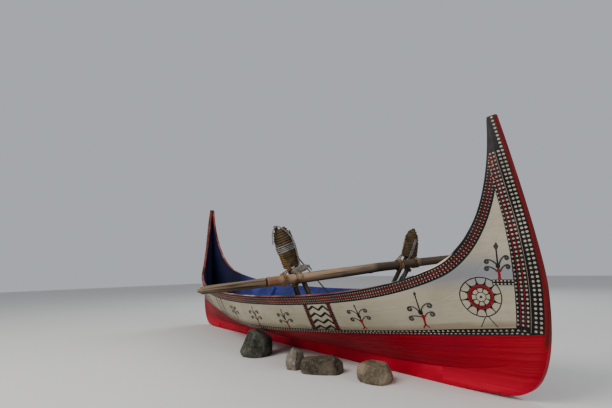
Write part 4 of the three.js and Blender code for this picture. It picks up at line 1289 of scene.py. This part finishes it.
forwards = np.array([1, -rig["yaw"], 0]) / math.hypot(1, rig["yaw"])  # square to the bar, level


# The crossbar's axis at y.
def barAt(y):
    y = np.asarray(y, float)
    return np.stack([rig["barX"] + rig["yaw"] * y, y, rig["barZ"] + rig["rise"] * y], -1)


# A place in the upright plane that the crutches stand in, just aft of the bar, or so far forward of it.
def crutchAt(y, z, forward=0.0):
    y, z = np.broadcast_arrays(np.asarray(y, float), np.asarray(z, float))
    return np.stack([rig["barX"] + rig["yaw"] * y - legAft + forward, y, z], -1)


# A leg's axis at z: it leans by its slope, and below its bend by its low slope.
def legAt(crutch, leg, z):
    z = np.asarray(z, float)
    bendZ, lowSlope = leg.get("bend", (0, leg["slope"]))
    bent = (lowSlope - leg["slope"]) * np.maximum(bendZ - z, 0)
    return crutchAt(crutch["side"] * (leg["y"] - leg["slope"] * (crutch["top"] - z) - bent), z)


# Frames along a path: its directions and two ways square to them, the first also square to a slanting line.
def pathFrames(path):
    way = np.gradient(path, axis=0)
    way /= np.linalg.norm(way, axis=-1, keepdims=True)
    first = np.cross(way, np.array([0.31, 0.2, 0.93]))
    first /= np.linalg.norm(first, axis=-1, keepdims=True)
    return way, first, np.cross(way, first)


# Lengths along a path at its points.
def lengthsAlong(path):
    return np.concatenate([[0], np.cumsum(np.linalg.norm(np.diff(path, axis=0), axis=1))])


# A path with its corners rounded: each point becomes the mean of those round it, but not those at the ends.
def softened(path, width):
    kernel, rim = np.ones(width) / width, width // 2
    path[rim:-rim] = np.stack([np.convolve(path[:, k], kernel, "valid") for k in range(3)], -1)
    return path


# A round piece along a path: radii along it, or a grid of radii by path point and by angle.
def tube(path, radii, sides):
    path = np.asarray(path, float)
    _, first, second = pathFrames(path)
    angle = np.arange(sides) * 2 * np.pi / sides
    cos, sin = np.cos(angle)[None, :, None], np.sin(angle)[None, :, None]
    radii = np.asarray(radii, float)
    radii = np.broadcast_to(radii[:, None] if radii.ndim == 1 else radii, (len(path), sides))[..., None]
    points = path[:, None] + (first[:, None] * cos + second[:, None] * sin) * radii
    flat = np.broadcast_to(np.concatenate([cos, sin], -1) * fibreRadius, (len(path), sides, 2))
    along = np.broadcast_to(lengthsAlong(path)[:, None, None], (len(path), sides, 1))
    fibre = np.concatenate([flat, along], -1)
    faces = [wallFaces(len(path), sides), endFaces(len(path), sides)]
    return points.reshape(-1, 3), fibre.reshape(-1, 3), faces


# Several tubes with their materials' numbers, as one mesh.
def joined(name, tubes):
    points, fibres, groups, slots, start = [], [], {}, {}, 0
    for (place, fibre, faces), number in tubes:
        for group in faces:
            groups.setdefault(group.shape[1], []).append(group + start)
            slots.setdefault(group.shape[1], []).append(np.broadcast_to(number, len(group)))
        points.append(place)
        fibres.append(fibre)
        start += len(place)
    sizes = list(groups)
    return meshOf(name, np.vstack(points), [np.vstack(groups[k]) for k in sizes],
                  [np.concatenate(slots[k]) for k in sizes], dict(fibre=np.vstack(fibres)))


# A three-strand rope's outline: its radius swells three times round, turned along the rope.
def ropeTube(path, radius, sides=9, lay=7.0, depth=0.1):
    path = np.asarray(path, float)
    turn = lengthsAlong(path) / (radius * lay) * 2 * np.pi
    angle = np.arange(sides) * 2 * np.pi / sides
    radii = radius * (1 - depth + depth * np.cos(3 * (angle[None, :] - turn[:, None])))
    radii[[0, -1]] *= 0.55
    return tube(path, radii, sides)


# A winding's section at a share of its height: its middle, the ways inboard and forwards, and the half-sizes.
def windingAt(crutch, share):
    low, high = crutch["wound"]

    def middle(s):
        return legAt(crutch, crutch["axis"], mix(low, high, np.asarray(s, float)))

    axis = middle(1) - middle(0)
    axis /= np.linalg.norm(axis)
    wide = np.cross(axis, forwards)
    wide *= -np.sign(wide[1] * crutch["side"])
    share = np.asarray(share, float)
    return (middle(share), wide, forwards, np.interp(share, rig["shares"], crutch["widths"]),
            np.interp(share, rig["shares"], rig["depths"]))


# Points on a winding at shares of its height and angles in degrees from inboard to forward, so far off it.
def onWinding(crutch, share, degrees, off):
    middle, wide, across, a, b = windingAt(crutch, share)
    turn = np.radians(degrees)
    return middle + wide * ((a + off) * np.cos(turn))[:, None] + across * ((b + off) * np.sin(turn))[:, None]


# Turns lie packed to a share of their thickness, and wander; the thinnest rope sinks in on the outboard side,
# and there the gold run under it shows as a painted highlight.
winding = dict(packed=0.98, perTurn=36, wobble=0.0009, wave=0.003, thin=0.003, sunk=0.004, sunkFrom=-0.62,
               sunkOver=0.1, core=0.008, coreRings=30, coreSides=28)


# One run of turns round the winding, from share s0 to s1, with the rope's own radius: a helix on its section.
def windingRun(crutch, s0, s1, radius, grow, slant):
    height = (crutch["wound"][1] - crutch["wound"][0]) * (s1 - s0)
    turns = max(round(height / (2 * radius * winding["packed"])), 1)
    angle = np.linspace(0, 2 * np.pi * turns, turns * winding["perTurn"] + 1)
    thin = radius < winding["thin"]
    share = s0 + (s1 - s0) * angle / angle[-1] - slant * np.cos(angle)
    share = share + winding["wave"] * np.sin(angle * 0.61 + 2) * (not thin)
    middle, wide, across, a, b = windingAt(crutch, np.clip(share, 0, 1))
    loose = winding["wobble"] * (np.sin(angle * 0.37 + 1) + np.sin(angle * 1.61)) * min(radius / 0.0045, 1)
    inboard = np.cos(angle)
    sunk = winding["sunk"] * np.clip((winding["sunkFrom"] - inboard) / winding["sunkOver"], 0, 1) * thin
    out = grow + loose - radius - sunk
    return middle + wide * ((a + out) * inboard)[:, None] + across * ((b + out) * np.sin(angle))[:, None]


# A winding: a plain core inside, and its runs of rope.
def addWinding(crutch):
    rings, sides = winding["coreRings"], winding["coreSides"]
    middle, wide, across, a, b = windingAt(crutch, np.linspace(0.0, 1.0, rings))
    angle = np.arange(sides) * 2 * np.pi / sides
    inboard = ((a - winding["core"])[:, None] * np.cos(angle))[..., None]
    forward = ((b - winding["core"])[:, None] * np.sin(angle))[..., None]
    core = (middle[:, None] + wide * inboard + across * forward).reshape(-1, 3)
    tubes = [((core, core, [wallFaces(rings, sides), endFaces(rings, sides)]), 3)]
    for s0, s1, radius, number, grow, slant, depth in crutch["runs"]:
        tubes.append((ropeTube(windingRun(crutch, s0, s1, radius, grow, slant), radius, depth=depth), number))
    name = "winding_" + crutch["name"]
    mesh = joined(name + "_turns", tubes)
    addPiece(mesh.name, mesh, ["rope", "paleRope", "ropeHighlight", "leg"], [name], 60.0)


# A crutch's leg: a crooked peeled stick with small swellings, thinner at its top.
def addLeg(crutch, which, seed):
    node = f"crutch_{crutch['name']}_{which}_leg"
    leg = crutch[which]
    foot = max(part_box(node)[0].z + 0.004, leg["foot"])
    z = np.linspace(foot, leg.get("head", crutch["wound"][1] + rig["legAbove"]), 90)
    t = (z - foot) / (z[-1] - foot)
    path = legAt(crutch, leg, z)
    if "bend" in leg:
        path = softened(path, 9)
    swell = 0.0006 * np.sin(31 * t + seed) + 0.0008 * np.sin(13 * t + 2 * seed)
    path = path + np.stack([swell, -swell, 0 * swell], -1)
    angle = np.arange(18) * 2 * np.pi / 18
    radii = rig["legR"] * mix(1.0, 0.75, t) - 0.0009 + 0.0008 * np.sin(23 * t + seed)
    radii = radii[:, None] + 0.0007 * np.sin(3 * angle[None, :] + 7 * t[:, None] + seed)
    radii[[0, -1]] *= 0.8
    mesh = joined(node, [(tube(path, radii, 18), 0)])
    addPiece(node + "_peeled", mesh, [leg.get("finish", "leg")], [node], 50.0)


# Radii at shares of the half-length; knots by y, angle and height; groove and collar by y, width and depth
barShape = dict(ends=(-1, -0.985, -0.98, -0.93, -0.7, -0.48, 0.48, 0.75, 0.93, 0.98, 1),
                radii=(0.007, 0.011, 0.018, 0.021, 0.024, 0.027, 0.027, 0.023, 0.017, 0.013, 0.007),
                knots=((-0.71, 2.2, 0.0026), (-0.43, 0.5, 0.002), (-0.31, 5.6, 0.0045), (-0.1, 3.0, 0.0024),
                       (0.12, 1.2, 0.003), (0.43, 4.1, 0.0026), (0.6, 2.0, 0.0024)),
                knotLong=0.014, knotRound=0.5, groove=(-0.48, 0.004, 0.004), collar=(-0.465, 0.01, 0.0016))


# The crossbar: the CAD's radii with long uneven hollows, knots as soft bumps, a worn groove beside a collar.
def addBar(cfg):
    shares = [np.linspace(-1, -0.97, 12), np.linspace(-0.965, 0.965, 420), np.linspace(0.97, 1, 12)]
    y = np.concatenate(shares) * rig["half"]
    path = barAt(y)
    t = y / rig["half"]
    path[:, 2] += 0.0016 * np.sin(5.1 * t + 0.6) * (1 - t**2)
    path[:, 0] += 0.0018 * np.sin(4.2 * t + 2.0) * (1 - t**2)
    sides = 36
    angle = np.arange(sides)[None, :] * 2 * np.pi / sides
    radii = np.interp(t, cfg["ends"], cfg["radii"])[:, None]
    radii = radii + 0.0009 * np.sin(2 * angle + 6 * t[:, None]) + 0.0007 * np.sin(17 * t[:, None] + angle)
    radii += 0.0005 * np.sin(7 * angle + 9 * t[:, None]) - 0.0008
    for place, turn, height in cfg["knots"]:
        off = np.abs((angle - turn + np.pi) % (2 * np.pi) - np.pi)
        gap = np.hypot((y[:, None] - place) / cfg["knotLong"], off / cfg["knotRound"])
        radii += height * np.exp(-gap**2)
    place, width, depth = cfg["groove"]
    radii -= depth * np.exp(-(((y - place) / width)**2))[:, None]
    place, width, height = cfg["collar"]
    radii += height * np.exp(-(((y - place) / width)**4))[:, None]
    radii *= np.where(np.abs(t) > 0.999, 0.75, 1.0)[:, None]
    mesh = joined("crossbar", [(tube(path, radii, sides), 0)])
    addPiece("crossbar_peeled", mesh, ["bar"], ["crossbar"], 60.0)


# Turns of rope square round a straight axis at a place of it: a helix with the pitch, and a lean across it.
def wrapRound(middle, axis, radius, rope, turns, pitch=None, lean=0.0):
    axis = np.asarray(axis, float) / np.linalg.norm(axis)
    first = np.cross(axis, [0.1, 0.2, 1.0])
    first /= np.linalg.norm(first)
    second = np.cross(axis, first)
    angle = np.linspace(0, 2 * np.pi * turns, int(lashing["perTurn"] * turns) + 1)
    shift = (angle / (2 * np.pi) - turns / 2) * (pitch or 2 * rope * lashing["packed"])
    shift = shift + lean * np.cos(angle)
    out = radius + rope
    path = middle + first * (out * np.cos(angle))[:, None] + second * (out * np.sin(angle))[:, None]
    return path + axis * shift[:, None]


# Rope radii, and the groups of turns: on the crossing, on the leg below it, and the rings near it on the bar
lashing = dict(thin=0.0022, rope=0.0042, strapShare=0.9, perTurn=28, packed=1.02,
               barSunk=0.0008, legSunk=0.001, legBelow=0.034,
               crossing=dict(turns=5, pitch=0.0085, lean=0.003), leg=dict(turns=2),
               ring=dict(turns=1.12, pitch=0.004, lean=0.0015), ringShifts=(-0.0092, 0.0, 0.0092),
               strapOff=0.0045, strapShifts=(-0.0052, 0.0052))


# A lashing: thin turns where the bar crosses the outer leg, thicker ones near it, and a strap to the winding.
def addLashing(crutch):
    node = "lashing_" + crutch["name"]
    outer, side = crutch["outer"], crutch["side"]
    z = float(barAt(legAt(crutch, outer, rig["barZ"])[1])[2])
    crossing = barAt(legAt(crutch, outer, z)[1])
    barWay = np.array([rig["yaw"], 1, rig["rise"]])
    legWay = legAt(crutch, outer, z - 0.01) - legAt(crutch, outer, z - 0.05)
    thin, rope, barR = lashing["thin"], lashing["rope"], rig["barR"] - lashing["barSunk"]
    below, legR = legAt(crutch, outer, z - lashing["legBelow"]), rig["legR"] - lashing["legSunk"]
    tubes = [(ropeTube(wrapRound(crossing, barWay, barR, thin, **lashing["crossing"]), thin), 1),
             (ropeTube(wrapRound(below, legWay, legR, rope, **lashing["leg"]), rope), 0)]
    for shift in lashing["ringShifts"]:
        ring = wrapRound(barAt(crutch["wraps"] + shift), barWay, barR, rope, **lashing["ring"])
        tubes.append((ropeTube(ring, rope), 0))
    shares, turns = np.array(crutch["strap"], float).T
    start, bend = onWinding(crutch, shares, turns, lashing["strapOff"])
    for shift in lashing["strapShifts"]:
        end = barAt(crutch["wraps"] + shift) + [-0.004, 0, rig["barR"] + 0.003]
        over = mix(bend, end, 0.4) + [0.004, -side * 0.004, 0]
        path = np.vstack([bezier([start, mix(start, bend, 0.5), bend], np.linspace(0, 1, 10))[:-1],
                          bezier([bend, over, end], np.linspace(0, 1, 12))])
        tubes.append((ropeTube(path + [0, shift, 0], rope * lashing["strapShare"]), 0))
    addPiece(node + "_turns", joined(node, tubes), ["lashRope", "bar"], [node], 60.0)


# Strand and loop radii and their lay, how far the strands stand from their middle and off the winding, and
# how they twist round each other from a share of their length on. Past the front angle a stay runs down the
# winding's front, and its strands lie side by side inboard and outboard.
stayShape = dict(strand=0.0029, loop=0.0036, lay=8.0, depth=0.15, apart=0.0044, off=0.0045, twistFrom=0.35,
                 twist=1.7, front=45, steps=420, soft=15, loopSteps=90, loopSoft=11)


# A stay: two ropes side by side down the winding, behind the bar and down to the bilge, and a loop if any.
def addStay(crutch):
    node = "stay_" + crutch["name"]
    cfg, side, shape = crutch["stay"], crutch["side"], stayShape
    shares, turns = np.array(cfg["shares"]), np.array(cfg["turns"], float)
    back = (rig["barR"] + rig["stayR"] + rig["gap"]) * math.hypot(1, rig["yaw"])
    y, (footY, footZ, footForward) = side * cfg["crossing"], cfg["foot"]
    behind = crutchAt(y, float(barAt(y)[2]), legAft - back)
    foot = crutchAt(side * footY, footZ, footForward)
    line = Guide(np.vstack([onWinding(crutch, shares, turns, shape["off"]), [behind], [foot]]))
    s = np.linspace(0, line.length, shape["steps"])
    path = softened(line.at(s), shape["soft"])
    way = pathFrames(path)[0]
    across = windingAt(crutch, 0.5)[1] if turns[0] > shape["front"] else forwards
    apart = across - way * (way @ across)[:, None]
    apart /= np.linalg.norm(apart, axis=-1, keepdims=True)
    square = np.cross(way, apart)
    angle = np.clip(s / line.length - shape["twistFrom"], 0, 1) * shape["twist"] * np.pi
    out = (apart * np.cos(angle)[:, None] + square * np.sin(angle)[:, None]) * shape["apart"]
    laid = dict(lay=shape["lay"], depth=shape["depth"])
    tubes = [(ropeTube(path + out, shape["strand"], **laid), 0),
             (ropeTube(path - out, shape["strand"], **laid), 1)]
    if "loop" in cfg:
        y, z, forward = np.array(cfg["loop"]).T
        loop = Guide(crutchAt(y, z) + np.stack([forward, 0 * y, 0 * y], -1))
        path = softened(loop.at(np.linspace(0, loop.length, shape["loopSteps"])), shape["loopSoft"])
        tubes.append((ropeTube(path, shape["loop"], **laid), 0))
    addPiece(node + "_ropes", joined(node, tubes), list(cfg["ropes"]), [node], 60.0)


# The wad's place, half-sizes and turn, how square its section is, its counts of points, and its frayed ends
wadShape = dict(y=-0.287, above=0.045, forward=0.025, half=(0.0155, 0.045, 0.0185), turn=0.31, square=0.62,
                rings=48, sides=44, frayed=4, frayRadius=0.0022, frayAt=(0, 0.046, 0.016))


# The wad: a flattened roll of old cloth, squarish in section and lying along the bar, with creases along it.
def addWad(node, cfg):
    rings, sides, reach = cfg["rings"], cfg["sides"], cfg["half"]
    lat, lon = np.linspace(0.05, np.pi - 0.05, rings), np.arange(sides) * 2 * np.pi / sides
    along, around = np.meshgrid(lat, lon, indexing="ij")
    cos, sin = np.cos(around), np.sin(around)
    fine = 0.03 * np.sin(17 * along + 2 * cos)
    creases = 1 + 0.06 * np.sin(5 * around + 2.4 * along) + 0.035 * np.sin(11 * around - 3 * along) + fine
    size = np.sin(along)**0.5 * creases
    x = size * np.sign(cos) * np.abs(cos)**cfg["square"] * reach[0]
    z = size * np.sign(sin) * np.abs(sin)**cfg["square"] * reach[2]
    y = np.cos(along) * reach[1]
    ct, st = math.cos(cfg["turn"]), math.sin(cfg["turn"])
    middle = crutchAt(cfg["y"], float(barAt(cfg["y"])[2]) + cfg["above"], cfg["forward"])
    body = (np.stack([x + rig["yaw"] * y, y * ct - z * st, y * st + z * ct], -1) + middle).reshape(-1, 3)
    marks = np.stack([cos * fibreRadius, sin * fibreRadius, y], -1).reshape(-1, 3)
    tubes = [((body, marks, [wallFaces(rings, sides), endFaces(rings, sides)]), 0)]
    end = middle + cfg["frayAt"]
    for k in range(cfg["frayed"]):
        bow = np.array([0.006 * math.cos(2.4 * k), 0.012 + 0.004 * k, 0.004 - 0.006 * k])
        bends = [end, end + bow + [0.004, 0, 0.008], end + bow * 1.4, end + bow - [0, -0.006, 0.012]]
        tubes.append((ropeTube(bezier(bends, np.linspace(0, 1, 10)), cfg["frayRadius"], 7), k % 2 * 2))
    addPiece(node + "_cloth", joined(node, tubes), ["cloth", "cloth", "leg"], [node], 70.0)


addBar(barShape)
for crutch in crutches:
    for which, seed in (("outer", 1.0), ("inner", 2.6)):
        addLeg(crutch, which, seed + crutch["side"])
    addWinding(crutch)
    addLashing(crutch)
    addStay(crutch)
addWad("wad_starboard", wadShape)
print("crossbar and crutches made")


# The stones, in metres: middle, half-sizes, turn about Z, how blocky and lumpy. Facets are flats cut on a
# stone, each facing a way (to the camera's right, towards it, up), at a share of the stone's reach that way.
stones = (
    dict(node="chock_stone", paint="darkRock", at=(0.096, -0.351, 0.058), half=(0.085, 0.098, 0.086),
         turn=0.35, block=0.6, lumps=0.06, rough=0.02,
         facets=((-0.9, 0.1, 0.42, 0.72), (-0.7, 0.7, 0.35, 0.76), (0.3, 1, 0.12, 0.76), (0.5, 0, 0.86, 0.76),
                 (1, 0.1, 0, 0.9))),
    dict(node="beach_stone_1", paint="paleRock", at=(0.515, -0.362, 0.036), half=(0.045, 0.042, 0.064),
         turn=0.5, block=0.62, lumps=0.06, rough=0.035,
         facets=((-0.75, 0.1, 0.65, 0.74), (-0.5, 0.8, 0.3, 0.78), (0.65, 0.75, 0.05, 0.78),
                 (0.35, 0.1, 0.9, 0.88))),
    dict(node="beach_stone_2", paint="brownRock", at=(0.669, -0.306, 0.027), half=(0.105, 0.054, 0.057),
         turn=0.66, block=0.48, lumps=0.04, rough=0.025,
         facets=((-0.05, 0, 1, 0.76), (-0.05, 1, 0.12, 0.84), (0.8, 0.6, 0.2, 0.76), (0.5, 0, 0.85, 0.86))),
    dict(node="beach_stone_3", paint="sandRock", at=(0.94, -0.225, 0.033), half=(0.079, 0.066, 0.053),
         turn=0.2, block=0.6, lumps=0.03, rough=0.022,
         facets=((0, 0.05, 1, 0.78), (0.85, 0.2, 0.45, 0.84), (0.05, 1, 0.25, 0.86))),
)
# The sphere's levels, the grit's scale and how far apart the stones' grit is taken, and the hull's clearance
stoneSkin = dict(levels=6, scale=2.2, apart=3.1, clear=0.0006)


# A stone: a lumpy block with flats and grit, from a sphere whose coordinates are raised to a power. What
# would be in the hull is laid against it, and what would be in the ground is flat.
def addStone(cfg, index, former):
    work = bmesh.new()
    bmesh.ops.create_icosphere(work, subdivisions=stoneSkin["levels"], radius=1)
    mesh = bpy.data.meshes.new(cfg["node"] + "_rough")
    work.to_mesh(mesh)
    work.free()
    p = np.zeros(len(mesh.vertices) * 3, np.float32)
    mesh.vertices.foreach_get("co", p)
    p = p.reshape(-1, 3).astype(float)
    lump = np.sin(3.1 * p[:, 0] + 1.3 * index + 1.3) * np.cos(2.7 * p[:, 1] - 0.6 + index)
    skew = 1 + cfg["lumps"] * (lump - p[:, 0] * p[:, 2])
    shift = Vector((index * stoneSkin["apart"], 0, 0))
    grit = np.array([noise.fractal(Vector(q) * stoneSkin["scale"] + shift, 0.6, 2.1, 6) for q in p])
    p = np.sign(p) * np.abs(p)**cfg["block"]
    p *= (skew / mix(1, np.linalg.norm(p, axis=1), 0.45))[:, None]
    c, s = math.cos(cfg["turn"]), math.sin(cfg["turn"])
    p = (p * cfg["half"]) @ np.array([[c, s, 0], [-s, c, 0], [0, 0, 1]])
    cy, sy = math.cos(view["yaw"]), math.sin(view["yaw"])
    for right, near, up, share in cfg["facets"]:
        way = np.array([cy * right + sy * near, sy * right - cy * near, up])
        way /= np.linalg.norm(way)
        reach = p @ way
        p -= np.maximum(reach - reach.max() * share, 0)[:, None] * way
    p *= (1 + cfg["rough"] * grit)[:, None]
    p += cfg["at"]
    landed = drape(former, -1, p)[0][:, 1]
    p[:, 1] = np.where(np.isnan(landed), p[:, 1], np.minimum(p[:, 1], landed - stoneSkin["clear"]))
    p[:, 2] = np.maximum(p[:, 2], 0.0)
    mesh.vertices.foreach_set("co", p.astype(np.float32).ravel())
    mesh.polygons.foreach_set("use_smooth", np.ones(len(mesh.polygons), bool))
    mesh.update()
    addPiece(cfg["node"] + "_rough", mesh, [cfg["paint"]], [cfg["node"]], 60.0)


former = makeFormer(-1)
for index, stone in enumerate(stones):
    addStone(stone, index, former)
bpy.data.objects.remove(former)
print("stones made")


# The floor's half-size and colours, the sky, and lamps by name, place, size, power and colour
studio = dict(
    half=14, floor=((0.62, 0.61, 0.59), (0.55, 0.54, 0.52)), sky=(0.82, 0.86, 0.92, 1), skyPower=0.55,
    aim=(0.2, 0, 0.4),
    lamps=(("key", (0.5, -4.2, 4.2), 3.2, 230, (1, 0.97, 0.92)), ("bow", (5.2, 0.6, 2.6), 2.6, 70, (1, 1, 1)),
           ("back", (-2.6, 4.0, 3.6), 3.0, 110, (0.9, 0.95, 1)),
           ("low", (1.0, -3.6, 0.4), 1.6, 34, (1, 0.96, 0.93))),
)


# Pale floor, even sky, and broad soft lamps round the boat.
def makeStudio(cfg):
    half = cfg["half"]
    corners = [(-half, -half, 0), (half, -half, 0), (half, half, 0), (-half, half, 0)]
    floor = bpy.data.objects.new("floor", meshOf("floor", corners, [[(0, 1, 2, 3)]], closed=False))
    paper = Finish("paper", 0.85)
    paper.set("Base Color", paper.blend(paper.noise(paper.place(), 1.5) * 0.3, *cfg["floor"]))
    floor.data.materials.append(paper.material)
    bpy.context.scene.collection.objects.link(floor)
    world = bpy.data.worlds.new("studio")
    world.use_nodes = True
    background = world.node_tree.nodes["Background"]
    background.inputs["Color"].default_value = cfg["sky"]
    background.inputs["Strength"].default_value = cfg["skyPower"]
    bpy.context.scene.world = world
    for name, place, size, power, colour in cfg["lamps"]:
        data = bpy.data.lights.new(name, "AREA")
        data.shape, data.size, data.energy, data.color = "DISK", size, power, colour
        lamp = bpy.data.objects.new(name, data)
        aim = (Vector(cfg["aim"]) - Vector(place)).to_track_quat("-Z", "Y")
        lamp.matrix_world = Matrix.Translation(place) @ aim.to_matrix().to_4x4()
        bpy.context.scene.collection.objects.link(lamp)


makeStudio(studio)
